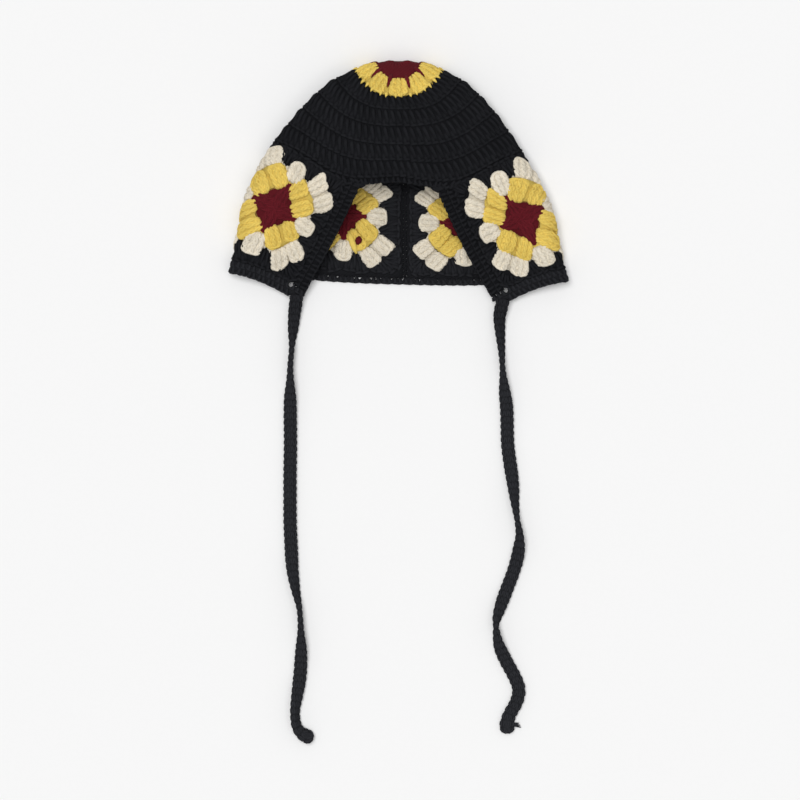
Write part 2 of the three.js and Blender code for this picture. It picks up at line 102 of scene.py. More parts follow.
# The seams and the edgings
SEAM_WIDTH = 3.0
SEAM_STRAND = 1.0  # the radius of a strand
SEAM_PITCH = 7.0  # how long one turn of the two strands is
EDGING_WIDTH = 5.0
FLAP_EDGING = 11.0
CHEEK_EDGING = 12.0
EDGING_STITCH = 4.6  # from one stitch of an edging to the next
EDGING_LEAN = 0.5  # how far each foot leans to its neighbour's
EDGING_OVERLAP = 1.2  # how far the felted middle reaches back into the cloth beside it
BROW_PLAIN = 0.62  # how much of the brow has the narrow edging
CORNER_LEAN = 1.5  # how far the edging leans to the middle at the corners of the opening
FLAP_END = 0.66  # the column of the band where the flap's edging starts to narrow
FLAP_FADE = 0.54  # over how many columns it narrows
FIRST_ROW = (0.95, 0.9)  # its height as a share of the narrow edging, and at most as one of this edging
SECOND_ROW = 2.0  # how much wider than the narrow edging this one has to be for a second row
ROW_GAP = 0.5  # between the two rows
ROW_SHORT = 0.4  # how far the second row stays inside the edging's width
NECK_CLOSED = 0.6  # how much of the neck behind has no small holes
NECK_GAP = 2.6  # how far the felted middle is cut back at the others

# The stitches, in millimetres
STITCH_WIDTH = 4.3  # a post of two strands as wide as its yarn makes it
STRAND_OFFSET = 0.95
STRAND_RADIUS = 1.2
LOOP_RADIUS = 1.1
END_SIZE = 0.55  # how thick a strand still is at its ends
PRESSED = 2.0  # how high up the cloth is pressed by lying on the surface
CORE = 1.5  # the felted middle of the cloth that shows between the strands
LOBE_POWER = 2.5  # how square the outline of a cluster is
SMALL_JITTER = 0.35  # how far the feet and heads of stitches stray

# The yarn's surface: its plies, how fine its fluff and its patches are, how much each changes the tone, the
# plies' being painted shade in their grooves, and how much the yarn shines and how much painted shade darkens
# it down in the cloth
PLIES = 3.0
FLUFF_SCALE = 1400.0
PATCH_SCALE = 55.0
PLY_GROOVE_SHADE = 0.2
PATCH_TONE = 0.3
FLUFF_TONE = 0.4
BLACK_SHINE_AND_SHADE = (0.004, 0.45)
BRIGHT_SHINE_AND_SHADE = (0.04, 0.3)

# How light a strand is: its own part of the shade, which differs at random, and a painted shade that depends
# on the side of it, lighter on the side out of the cloth
STRAND_SHADE = 0.35
PAINTED_SIDE_SHADE = 0.325
UV_LENGTH = 10.0  # millimetres of yarn in one step of its texture

# The crown: how many stitches its rounds have, and how wide one of the black stitches is
CENTRE_STITCHES = 24
RING_CLUSTERS = 10
RING_TIPS = 34
DOME_STITCH = 6.1
CENTRE_FELT = 3.6  # how thick the felted middle of the burgundy round is

# The burgundy points between the clusters, and the loops pulled out to tips: their radii, how far these
# stray, their width and how high they lie from end to end, and how flat they are
WEDGES = (
    (17.5, 30.0), (-1.2, 1.0), (1.6, 2.1, 2.2, 1.9, 1.5, 1.0, 0.5), (1.6, 1.9, 2.1, 2.2, 2.2, 2.1, 1.7), 0.7,
)
TIPS = ((34.8, 39.4), (-0.8, 0.6), (1.7, 1.8, 1.4, 0.9, 0.5), (1.2, 2.3, 2.4, 2.2, 1.8), 0.8)

# Radii on the crown: how far the felted middles reach, and where the stitches start and end
CENTRE_CORE = (0.8, 20.5)
RING_CORE = (22.5, 36.2)
DOME_CORE = (37.6, RIM_RADIUS + 1.2)
CENTRE_ROUND = (2.0, 22.5)
CENTRE_LEAN = 0.02  # how far its heads lean on, in half rounds
RING_MIDDLE = 28.4
RING_WAIST = 27.5  # where the clusters' width is measured
RING_FULLNESS = 2.02  # their width together, in half rounds: a little over 2, so they press on each other
RING_CLUSTER = (18.6, 5.6, 0.16)  # height, thickness and taper
FEET_TUCK = 0.3  # how far the feet of a black round reach in under the last one
HEADS_BELOW = 0.8  # how far its heads stay inside the next one's feet
HEAD_LEAN = 0.4  # how far the heads lean on, in shares of a black stitch
HEAD_WIDTHS = (3.4, 7.4)  # the narrowest and the widest head
FOOT_WIDTHS = (2.0, 6.4)

# The ties as they lie: across, drop below the bonnet's top edge, and the turn of the flat strip
TIE_LEFT = (
    (-86.4, 198.0, 0), (-86.8, 202.2, 0), (-87.3, 206, 10), (-88.2, 213, 25), (-89.4, 226, 55),
    (-90.6, 243, 90), (-92.0, 262, 95), (-92.0, 277, 120), (-92.0, 292, 160), (-91.8, 323, 180),
    (-92.2, 354, 180), (-92.2, 385, 180), (-91.2, 412, 185), (-90.2, 430, 215), (-87.2, 449, 250),
    (-84.0, 465, 270), (-83.0, 480, 275), (-82.6, 497, 310), (-83.4, 518, 355), (-86.0, 538, 400),
    (-88.0, 553, 425), (-86.6, 564.5, 420), (-80.6, 571.8, 395), (-72.5, 574.6, 385),
)
TIE_RIGHT = (
    (89.0, 201.5, 0), (87.9, 205.9, 0), (86.4, 212, 15), (85.6, 218, 35), (86.3, 230, 60),
    (87.6, 246, 80), (88.6, 264, 95), (90.0, 279, 130), (92.0, 296, 170), (92.6, 323, 180),
    (94.6, 340, 185), (97.2, 358, 215), (98.8, 374, 250), (101.0, 390, 270), (103.0, 404, 290),
    (101.6, 418, 335), (98.0, 432, 360), (92.0, 448, 360), (86.2, 464, 400), (82.6, 478, 445),
    (84.4, 492, 480), (90.8, 508, 530), (98.4, 522, 540), (102.6, 534, 540), (99.4, 546, 540),
    (94.4, 554, 540), (92.2, 562, 540), (92.4, 570.5, 540),
)
TIE_START = (10.2, 9.4, 8.2, 6.4)  # how high the first points are, over the flap's edge
TIE_HALF_WIDTH = 5.6
TIE_HALF_THICKNESS = 2.5
TIE_ROW = 5.6  # from one row of its stitches to the next
TIE_COLUMN = 3.35  # from one column to the next
TIE_STRAND = 0.95  # the radius of its strands
TIE_EDGE_STRAND = (1.05, 1.25)  # how wide and how deep the strands at its edges are, as radii
TIE_KNOB = (0.2, 6.5, 5.5)  # how much it thickens before its end, how far from the end, and over how far
PAINTED_LIGHT_FADE = 30.0  # how far from the flap the ties' painted light stays closer to the edging's

# Painted light: how much lighter the black yarn is made on the ties, the neck edging and, lifting the shade
# inside, the back squares' borders
TIE_PAINTED_LIGHT = 2.1
EDGING_PAINTED_LIGHT = 1.1
INSIDE_PAINTED_LIGHT = 0.7

# The squares of the band: name, side, and 0 for a side square or 1 for a back one
SQUARES = (
    ("square_side_left", -1, 0),
    ("square_back_left", -1, 1),
    ("square_back_right", 1, 1),
    ("square_side_right", 1, 0),
)
# How the back squares, seen through the opening, are drawn together: places across and up, and where they lie
DRAWN = {
    "square_back_left": (
        ((-50, 0, 20, 32, 45, 50), (-50, 0, 17.5, 29, 39.5, 50)),
        ((-50, -48, -36, -20, 0, 12, 25, 38, 50), (-50, -42.5, -32.5, -19, 0, 9.5, 18, 27, 50)),
    ),
    "square_back_right": (
        ((-50, 0, 32, 46, 50), (-50, 0, 31.5, 43, 50)),
        ((-50, -48, -36, -20, 0, 12, 25, 38, 50), (-50, -43.5, -34.5, -21.5, -2.5, 7, 15.5, 24.5, 50)),
    ),
}
# How single clusters of the side squares lie out of place: where, and how far across and up
NUDGES = {
    "square_side_left": (
        (25, 37, -1.9, 3.4), (0, 28, -1.0, 3.8), (-25, 37, 0.9, -4.2), (-37, 25, -2.3, -0.7),
        (11, 22, -1.7, 3.6), (22, 11, -4.5, 5.0), (25, 0, -3.9, 0.4), (-37, -25, 2.3, 4.3),
        (0, -32, 2.6, 0.2),
    ),
    "square_side_right": (
        (25, 37, -3.7, 0.0), (0, 32, -3.7, 2.3), (-32, 0, -2.1, 4.1), (11, 22, -4.8, 0.1),
        (22, 11, -4.4, 3.2), (22, -11, -3.7, 2.3), (11, -22, -0.9, -1.7), (-11, -22, 0.5, -3.6),
        (-37, -25, -0.9, 1.7), (-25, -37, 2.7, -1.7), (0, -28, 0.6, -5.6), (25, 0, -4.4, 4.3),
    ),
}
NUDGE_REACH = 9.0

# The small round holes at the lower corners of the side squares, left and right: where they are in the
# frame, how wide, and how far along a strand it bends past one
PINHOLES = ((-91.3, -86.0), (90.6, -90.8))
PINHOLE_RADIUS = 2.1
PINHOLE_REACH = 4.0
HOLE_CORNER = 0.92  # how far out the felted corner beside a hole reaches
HOLE_CUT = 6.0  # how far the edging's felted middle is cut back there
HOLE_CUT_REACH = 2.6  # and how far to both sides

# The stage: the middle of the view in millimetres, and the suns by turn, strength and softness
VIEW_MIDDLE = (1.275, -184.3)
SUNS = (
    ((-0.12, -0.16, 0.0), 1.68, 0.5),
    ((0.2, 0.16, 0.0), 0.52, 0.8),
)
SKY_STRENGTH = 0.33


def colour_setting(name, used_for, default):
    """A setting for the colour of a yarn or of the floor."""
    return bpy.props.FloatVectorProperty(
        name=name, description=f"Colour of {used_for}", subtype="COLOR", default=default, min=0.0, max=1.0,
    )


class BonnetSettings(bpy.types.PropertyGroup):
    """The yarns' colours and what a maker would change about the stitches."""

    black: colour_setting("Black yarn", "the crown, borders and ties", (0.0158, 0.0163, 0.0186))
    burgundy: colour_setting("Burgundy yarn", "the first round of crown and squares", (0.130, 0.0123, 0.0186))
    yellow: colour_setting("Yellow yarn", "the second round", (0.82, 0.605, 0.136))
    cream: colour_setting("Cream yarn", "the third round of the squares", (0.81, 0.74, 0.61))
    twist: bpy.props.FloatProperty(
        name="Yarn twist", description="Turns of the plies in one centimetre of yarn", default=2.6,
        min=0.5, max=8.0,
    )
    floor: colour_setting("Floor", "the surface below", (0.93, 0.93, 0.93))
    camera_height: bpy.props.FloatProperty(
        name="Camera height", description="How far above the surface the camera is", default=5.0,
        min=1.0, unit="LENGTH",
    )
    view_width: bpy.props.FloatProperty(
        name="View width", description="How much of the surface the picture shows", default=0.68,
        min=0.2, unit="LENGTH",
    )


def smooth_curve(xs, ys):
    """A curve through points that never overshoots them, and goes straight on past them."""
    xs = np.asarray(xs, float)
    ys = np.asarray(ys, float)
    slopes = np.diff(ys) / np.diff(xs)
    before = np.concatenate([slopes[:1], slopes])
    after = np.concatenate([slopes, slopes[-1:]])
    product = before * after
    total = np.where(product > 0, before + after, 1.0)
    tangents = np.where(product > 0, 2 * product / total, 0.0)

    def at(x):
        x = np.asarray(x, float)
        i = np.clip(np.searchsorted(xs, x, side="right") - 1, 0, len(xs) - 2)
        step = xs[i + 1] - xs[i]
        t = (x - xs[i]) / step
        value = (
            (1 + 2 * t) * (1 - t) ** 2 * ys[i]
            + t * (1 - t) ** 2 * step * tangents[i]
            + t * t * (3 - 2 * t) * ys[i + 1]
            - t * t * (1 - t) * step * tangents[i + 1]
        )
        value = np.where(x < xs[0], ys[0] + tangents[0] * (x - xs[0]), value)
        return np.where(x > xs[-1], ys[-1] + tangents[-1] * (x - xs[-1]), value)

    return at


def unit(vectors):
    """Vectors of any length, turned into ones of length 1."""
    return vectors / np.maximum(np.linalg.norm(vectors, axis=-1, keepdims=True), 1e-9)


def distances(line):
    """The length along a line at each of its points."""
    return np.concatenate([[0.0], np.cumsum(np.linalg.norm(np.diff(line, axis=0), axis=1))])


def read_along(where, length, rows):
    """Rows of values along a line, read at other lengths along it."""
    return np.stack([np.interp(where, length, rows[:, k]) for k in range(rows.shape[1])], axis=-1)


def column_of(rows, columns, name):
    """One named column of a table."""
    return np.array([row[columns.index(name)] for row in rows])


def over_the_pole(behind, pole, in_front, sign=1):
    """A curve by the radius from the crown's middle, negative radii behind it."""
    radius = column_of(CROWN_ROWS, CROWN_COLUMNS, "radius")
    back = column_of(CROWN_ROWS, CROWN_COLUMNS, behind)
    front = column_of(CROWN_ROWS, CROWN_COLUMNS, in_front)
    return smooth_curve(
        np.concatenate([-radius[::-1], [0.0], radius]),
        np.concatenate([sign * back[::-1], [pole], front]),
    )


CROWN = {
    "drop": over_the_pole("back_drop", 0.0, "front_drop"),
    "z": over_the_pole("back_z", POLE_Z, "front_z"),
    "fold_x": over_the_pole("fold_x", 0.0, "fold_x", -1),
    "fold_drop": over_the_pole("fold_drop", 0.0, "fold_drop"),
    "fold_z": over_the_pole("fold_z", POLE_Z, "fold_z"),
    "dip": over_the_pole("dip", 0.0, "dip"),
}
BAND = {
    name: smooth_curve(column_of(BAND_ROWS, BAND_COLUMNS, "down"), column_of(BAND_ROWS, BAND_COLUMNS, name))
    for name in BAND_COLUMNS[1:]
}


def line_points(angle, fold, back_drop, back_z, front):
    """x, shift, drop and height along a line round the cloth, from the front (0) to the back (pi)."""
    across = np.maximum(np.sin(angle), 0.0)
    facing = np.cos(angle)
    behind = facing < 0
    front_x, front_drop, front_z = front(across, facing)
    x = np.where(behind, fold[0] * across, front_x)
    shift = np.where(behind, BACK_SHIFT * facing**2, 0.0)
    drop = np.where(behind, fold[1] + (back_drop - fold[1]) * (1 - across**3), front_drop)
    under = back_z + (fold[2] - back_z) * np.maximum(0.0, 1 + facing / TURN) ** 2
    return np.stack([x, shift, drop, np.where(behind, under, front_z)], axis=-1)


def crown_line(radius):
    """The line round the crown at a radius, as a function of the angle."""
    fold = (CROWN["fold_x"](radius), CROWN["fold_drop"](radius), CROWN["fold_z"](radius))
    front_drop = CROWN["drop"](radius)
    front_z = CROWN["z"](radius)

    def front(across, facing):
        dip = CROWN["dip"](radius) * np.sin(2 * math.pi * across**DIP_POWER)
        drop = fold[1] + (front_drop - fold[1]) * (1 - across**3) + dip
        return fold[0] * across, drop, fold[2] + (front_z - fold[2]) * facing

    def line(angle):
        return line_points(angle, fold, CROWN["drop"](-radius), CROWN["z"](-radius), front)

    return line


def band_line(down):
    """The line round the band at a height, with the angles of a side square's middle and far side."""
    row = {name: float(at(down)) for name, at in BAND.items()}
    fold = (row["fold_x"], row["fold_drop"], row["fold_z"])
    mid = (row["mid_x"] - row["edge_x"]) / (row["fold_x"] - row["edge_x"])
    bend = ((row["mid_drop"] - row["edge_drop"]) / mid - (row["fold_drop"] - row["edge_drop"])) / (mid - 1)
    rise = math.sqrt(1 - mid**2)
    cubic = ((row["mid_z"] - row["fold_z"]) / rise - (row["edge_z"] - row["fold_z"])) / (rise**2 - 1)

    def front(across, facing):
        x = row["edge_x"] + (row["fold_x"] - row["edge_x"]) * across
        bow = bend * across * (across - 1)
        drop = row["edge_drop"] + across * (row["fold_drop"] - row["edge_drop"]) + bow
        z = row["fold_z"] + facing * (row["edge_z"] - row["fold_z"]) + cubic * facing * (facing**2 - 1)
        return x, drop, z

    def line(angle):
        return line_points(angle, fold, row["back_drop"], FLOOR, front)

    return line, math.asin(mid), math.pi - math.asin(row["corner_x"] / row["fold_x"])


def measured(line):
    """The angles round a line, and the length along it at each."""
    angles = np.linspace(0.0, math.pi, 161)
    return angles, distances(line(angles)[:, [0, 2, 3]])


def placed(side, points, tilt):
    """Points in the part's frame, on one side of it and turned a little about its middle."""
    x = side * points[..., 0] + points[..., 1]
    return np.stack([x, TOP_Y - points[..., 2] - tilt * x, points[..., 3]], axis=-1)


class Cloth:
    """A grid of points on the cloth with its outward normals, read between its lines."""

    def __init__(self, s, t, points, outward):
        self.s, self.t, self.points = s, t, points
        across = np.gradient(points, axis=1)
        down = np.gradient(points, axis=0)
        self.normals = unit(np.cross(down, across) * outward)

    def at(self, s, t):
        """Points and outward normals at places on the cloth."""
        column = (np.asarray(s) - self.s[0]) / (self.s[1] - self.s[0])
        row = (np.asarray(t) - self.t[0]) / (self.t[1] - self.t[0])
        i = np.clip(np.floor(column).astype(int), 0, len(self.s) - 2)
        j = np.clip(np.floor(row).astype(int), 0, len(self.t) - 2)
        u = (column - i)[..., None]
        v = (row - j)[..., None]

        def mix(grid):
            upper = grid[j, i] * (1 - u) + grid[j, i + 1] * u
            lower = grid[j + 1, i] * (1 - u) + grid[j + 1, i + 1] * u
            return upper * (1 - v) + lower * v

        return mix(self.points), unit(mix(self.normals))


def crown_cloth():
    """The crown by turn, from -1 to 1 round it with 0 in front, and by radius."""
    turns = np.linspace(-1.0, 1.0, 361)
    radii = np.linspace(0.5, RIM_RADIUS + 2.0, 108)
    rows = []
    for radius in radii:
        line = crown_line(radius)
        angles, lengths = measured(line)
        at = line(np.interp(np.abs(turns) * lengths[-1], lengths, angles))
        tilt = TILT["pole"] + (TILT["rim"] - TILT["pole"]) * (radius / RIM_RADIUS) ** 2
        rows.append(placed(np.where(turns < 0, -1.0, 1.0), at, tilt))
    return Cloth(turns, radii, np.array(rows), 1)


CROWN_CLOTH = crown_cloth()
CROWN_GIRTHS = np.linalg.norm(np.diff(CROWN_CLOTH.points, axis=1), axis=-1).sum(axis=1) / 2


def crown_at(turn, radius):
    """Points and outward normals of the crown."""
    return CROWN_CLOTH.at((np.asarray(turn) + 1) % 2 - 1, radius)


def crown_girth(radius):
    """Half the length round the crown at a radius, which is one turn from front to back."""
    return np.interp(radius, CROWN_CLOTH.t, CROWN_GIRTHS)


def along_band(marks, column):
    """How far round a line of the band a column is: 0 to 1 on the side square, 1 to 2 on the back one."""
    return np.interp(column, [0.0, 0.5, 1.0, 2.0], marks)


def band_marks(line, middle, corner):
    """A line's angles and lengths, and the lengths at its squares' sides and middle."""
    angles, lengths = measured(line)
    marks = np.interp([0.0, middle, corner, math.pi], angles, lengths)
    return angles, lengths, marks


def rim_turn(column):
    """Where round the crown's rim a column of the band meets it."""
    angles, lengths = measured(crown_line(RIM_RADIUS))
    start = np.interp(math.asin(BAND_ROWS[0][1] / BAND_ROWS[0][7]), angles, lengths)
    marks = band_marks(*band_line(0.0))[2]
    return (start + (lengths[-1] - start) * along_band(marks, column) / marks[-1]) / lengths[-1]


def band_cloth(side):
    """One side of the band by column and by height down from the crown's rim."""
    columns = np.linspace(0.0, 2.0, 201)
    downs = np.linspace(0.0, 1.0, 61)
    rim = crown_at(side * rim_turn(columns), np.full(len(columns), RIM_RADIUS))[0]
    rows = []
    for down in downs:
        line, middle, corner = band_line(down)
        angles, lengths, marks = band_marks(line, middle, corner)
        at = line(np.interp(along_band(marks, columns), lengths, angles))
        tilt = TILT["rim"] + (TILT["neck"] - TILT["rim"]) * down**2
        points = placed(side, at, tilt)
        if down == 0.0:
            apart = rim - points
        rows.append(points + apart * (1 - down) ** 2)
    return Cloth(columns, downs, np.array(rows), side)


BAND_CLOTH = {-1: band_cloth(-1), 1: band_cloth(1)}


def askew(name, x, y):
    """Where a point of a square really lies, as its rounds are drawn together and nudged out of place."""
    if name in DRAWN:
        across, up = DRAWN[name]
        x, y = np.interp(x, *across), np.interp(y, *up)
    if name not in NUDGES:
        return x, y
    edge = np.clip((SQUARE_HALF - np.maximum(np.abs(x), np.abs(y))) / 8, 0, 1)
    total, move_x, move_y = 0.25, 0.0, 0.0
    for at_x, at_y, by_x, by_y in NUDGES[name]:
        weight = np.exp(-((x - at_x) ** 2 + (y - at_y) ** 2) / NUDGE_REACH**2)
        total = total + weight
        move_x = move_x + weight * by_x
        move_y = move_y + weight * by_y
    return x + edge * move_x / total, y + edge * move_y / total


def square_at(square, x, y):
    """A point of a square by millimetres from its middle: x away from the front, y up."""
    name, side, start = square
    x, y = askew(name, np.asarray(x, float), np.asarray(y, float))
    trim = SEAM_WIDTH / 2 / SQUARE_HALF
    column = start + ((1 - trim) * x / SQUARE_HALF + 1) / 2 - (0 if start else trim / 2)
    return BAND_CLOTH[side].at(column, (1 - y / SQUARE_HALF) / 2)


def quarter_turned(points, quarter):
    """Points of a square turned by quarters about its middle."""
    x, y = points[..., 0], points[..., 1]
    for _ in range(quarter):
        x, y = y, -x
    return np.stack([x, y], axis=-1)


def rested(points):
    """Presses flat what would lie below the surface, as the cloth's own weight does."""
    height = points[:, 2]
    low = min(height.min(), 0.0)
    pressed = (height - low) * PRESSED / (PRESSED - low)
    return np.column_stack([points[:, :2], np.where(height < PRESSED, pressed, height)])


def past_pinholes(centres):
    """Bends each strand that would cross a small hole round it, all to one side."""
    rows = np.arange(len(centres))
    centres = np.array(centres)
    for middle in PINHOLES:
        apart = centres[..., :2] - middle
        distance = np.linalg.norm(apart, axis=-1)
        nearest = distance.argmin(axis=1)
        tangent = np.gradient(centres[..., :2], axis=1)[rows, nearest]
        across = unit(np.stack([-tangent[:, 1], tangent[:, 0]], axis=-1))
        offset = (apart[rows, nearest] * across).sum(axis=-1)
        needed = np.maximum(PINHOLE_RADIUS + STRAND_RADIUS - np.abs(offset), 0.0)
        needed = needed * np.where(offset < 0, -1.0, 1.0)
        fade = np.exp(-((distance / PINHOLE_REACH) ** 2))
        centres[..., :2] += (fade * needed[:, None])[..., None] * across[:, None]
    return centres


class Skein:
    """Collects tubes of yarn and thin shells of cloth, and makes one piece of them.

    The argument after the seed lightens the yarn of a whole piece with painted light.
    """

    def __init__(self, seed, painted_light=0.0):
        self.painted_light = painted_light
        self.points, self.faces, self.uvs, self.shades = [], [], [], []
        self.count = 0
        self.random = np.random.default_rng(seed)

    def add(self, points, faces, uvs, shade):
        """Adds a body by its points, groups of faces, their texture places and the shade of its points."""
        self.points.append(points)
        self.shades.append(shade)
        for face, uv in zip(faces, uvs):
            self.faces.append((face + self.count).tolist())
            self.uvs.append(uv)
        self.count += len(points)

    def tubes(self, centres, normals, wide, deep, sides=5, shade=None, facing=1.0):
        """Tubes through rows of centres. wide is the radius in the cloth's plane, deep across it.

        facing is how far the normals point out of the cloth there: the side that does is painted lighter, and
        the side facing into the cloth is painted darker with shade.
        """
        many, length = centres.shape[:2]
        centres = past_pinholes(centres)
        tangent = unit(np.gradient(centres, axis=1))
        side = unit(np.cross(tangent, normals))
        up = np.cross(side, tangent)
        angle = (np.arange(sides) + 0.5) / sides * 2 * math.pi
        wide = np.broadcast_to(wide, (many, length))[..., None, None]
        deep = np.broadcast_to(deep, (many, length))[..., None, None]
        ends = np.ones(length)
        ends[[0, -1]] = END_SIZE
        ring = centres[:, :, None] + ends[:, None, None] * (
            np.cos(angle)[:, None] * side[:, :, None] * wide + np.sin(angle)[:, None] * up[:, :, None] * deep
        )
        shade = self.random.random(many) if shade is None else shade
        facing = np.broadcast_to(facing, (many, length))[..., None]
        painted_side_shade = PAINTED_SIDE_SHADE + PAINTED_SIDE_SHADE * facing * np.sin(angle)
        self.rings(ring, STRAND_SHADE * shade[:, None, None] + painted_side_shade)

    def rings(self, ring, shade):
        """Closed bodies through rows of rings, which turn clockwise seen from the end that they run to."""
        many, length, sides = ring.shape[:3]
        middle = ring.mean(axis=2)
        along = np.cumsum(np.linalg.norm(np.diff(middle, axis=1), axis=2), axis=1) / UV_LENGTH
        along = np.concatenate([np.zeros((many, 1)), along], axis=1) + self.random.random((many, 1))
        body = np.arange(many)[:, None, None] * length * sides
        k = np.arange(length - 1)[None, :, None] * sides
        i = np.arange(sides)[None, None, :]
        n = (i + 1) % sides
        low = body + k
        high = low + sides
        walls = np.stack([low + i, high + i, high + n, low + n], axis=-1)
        u0 = np.broadcast_to(i / sides, walls.shape[:3])
        v0 = np.broadcast_to(along[:, :-1, None], walls.shape[:3])
        v1 = np.broadcast_to(along[:, 1:, None], walls.shape[:3])
        step = 1 / sides
        wall_uv = np.stack([u0, v0, u0, v1, u0 + step, v1, u0 + step, v0], axis=-1)
        first = np.arange(many)[:, None] * length * sides + np.arange(sides)
        last = first[:, ::-1] + (length - 1) * sides
        cap_uv = np.stack([np.arange(sides) / sides, np.zeros(sides)], axis=-1).ravel()
        self.add(
            ring.reshape(-1, 3),
            (walls.reshape(-1, 4), np.concatenate([first, last])),
            (wall_uv.reshape(-1), np.tile(cap_uv, 2 * many)),
            np.broadcast_to(shade, (many, length, sides)).ravel(),
        )

    def shell(self, points, normals, ring=False, thickness=CORE):
        """A thin closed shell of cloth through a grid of points, in the darkest shade: painted shade where it
        shows down between the strands.
        """
        rows, columns = points.shape[:2]
        outer = points + normals * thickness / 2
        inner = points - normals * thickness / 2
        both = np.concatenate([outer.reshape(-1, 3), inner.reshape(-1, 3)])
        index = np.arange(rows * columns).reshape(rows, columns)
        below = index + rows * columns
        spans = columns if ring else columns - 1
        i = np.arange(spans)
        n = (i + 1) % columns

        def strip(a, b, c, d):
            return np.stack([a, b, c, d], axis=-1).reshape(-1, 4)

        faces = [
            strip(index[:-1][:, i], index[1:][:, i], index[1:][:, n], index[:-1][:, n]),
            strip(below[:-1][:, i], below[:-1][:, n], below[1:][:, n], below[1:][:, i]),
            strip(index[-1, i], below[-1, i], below[-1, n], index[-1, n]),
            strip(index[0, i], index[0, n], below[0, n], below[0, i]),
        ]
        if not ring:
            faces.append(strip(index[:-1, 0], below[:-1, 0], below[1:, 0], index[1:, 0]))
            faces.append(strip(index[:-1, -1], index[1:, -1], below[1:, -1], below[:-1, -1]))
        faces = np.concatenate(faces)
        uv = both[faces][..., :2] / UV_LENGTH
        self.add(both, (faces,), (uv.reshape(-1),), np.zeros(len(both)))

    def piece(self, name, node, material, slot):
        """Makes the piece, which replaces a node. Its slot argument is not used."""
        faces = [face for group in self.faces for face in group]
        mesh = bpy.data.meshes.new(name)
        mesh.from_pydata((rested(np.concatenate(self.points)) * MM).tolist(), [], faces)
        layer = mesh.uv_layers.new(name="yarn")
        layer.data.foreach_set("uv", np.concatenate(self.uvs))
        shade = mesh.attributes.new("shade", "FLOAT", "POINT")
        # Each point's shade is raised by the piece's painted light.
        shade.data.foreach_set("value", np.concatenate(self.shades) + self.painted_light)
        mesh.polygons.foreach_set("use_smooth", np.ones(len(faces), bool))
        mesh.update()
        piece = bpy.data.objects.new(name, mesh)
        bpy.context.scene.collection.objects.link(piece)
        mesh.materials.append(material)
        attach(piece, "root")
        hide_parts(node)
        return piece


class Stitches:
    """Rows of points from the foot to the head of each stitch, to hang strands on."""

    def __init__(self, points, normals, foot_width, head_width):
        self.points, self.normals = points, normals
        self.along = unit(points[:, -1] - points[:, 0])[:, None]
        self.height = np.linalg.norm(points[:, -1] - points[:, 0], axis=-1)[:, None]
        self.across = unit(np.cross(self.along, normals[:, 2:3]))
        self.foot = np.broadcast_to(foot_width, len(points))[:, None] / STITCH_WIDTH
        self.head = np.broadcast_to(head_width, len(points))[:, None] / STITCH_WIDTH

    def strand(self, skein, v, u, w, radius, lift=0.0, shade=None):
        """One strand by its height v in stitches, u across and w out of the cloth in millimetres."""
        v = np.broadcast_to(np.asarray(v, float) + lift / self.height, (len(self.points), len(u)))
        steps = self.points.shape[1] - 1
        low = np.clip(np.floor(v * steps).astype(int), 0, steps - 1)
        part = (v * steps - low)[..., None]
        row = np.arange(len(self.points))[:, None]
        base = self.points[row, low] * (1 - part) + self.points[row, low + 1] * part
        normal = unit(self.normals[row, low] * (1 - part) + self.normals[row, low + 1] * part)
        girth = self.foot + (self.head - self.foot) * np.clip(v, 0, 1)
        w = np.asarray(w, float)
        centre = base + self.across * (np.asarray(u) * girth)[..., None] + normal * w[..., None]
        facing = np.clip(w / STRAND_OFFSET, -1, 1)
        skein.tubes(centre, normal, radius * girth, radius, shade=shade, facing=facing)


def on_cloth(at, foot, head, foot_width, head_width, steps=4):
    """Stitches from feet to heads, given in the coordinates of a piece of cloth."""
    t = np.linspace(0.0, 1.0, steps + 1)[None, :, None]
    spots = foot[:, None] * (1 - t) + head[:, None] * t
    points, normals = at(spots[..., 0], spots[..., 1])
    return Stitches(points, normals, foot_width, head_width)


def posts(skein, stitches, tall=True):
    """The upright part of each stitch: two strands wound on each other, with a waist where it is tall."""
    shade = skein.random.random(len(stitches.points))
    v = np.linspace(-0.02, 0.97, 8 if tall else 4)
    waves = 2 if tall else 1
    fullness = 0.9 + 0.4 * np.abs(np.sin(waves * math.pi * v))
    turn = (1.2 if tall else 0.5) * math.pi
    for strand in (0, 1):
        phase = 0.5 + turn * v + strand * math.pi
        u = STRAND_OFFSET * np.cos(phase)
        w = STRAND_OFFSET * np.sin(phase) * fullness
        stitches.strand(skein, v, u, w, STRAND_RADIUS * fullness, shade=shade)


def top_loops(skein, stitches):
    """The two loops that lie over the head of each stitch and lean on the next one's."""
    shade = skein.random.random(len(stitches.points))
    u = np.array([-2.5, -1.0, 0.9, 2.6])
    for side in (1, -1):
        w = side * np.array([0.2, 1.15, 1.25, 0.35])
        lift = 0.2 * side + np.array([-0.5, -0.9, -1.0, -0.6])
        stitches.strand(skein, np.ones(4), u, w, LOOP_RADIUS, lift=lift[None, :], shade=shade)


def crocheted(skein, stitches, tall=True):
    """Posts and the loops over them."""
    posts(skein, stitches, tall)
    top_loops(skein, stitches)


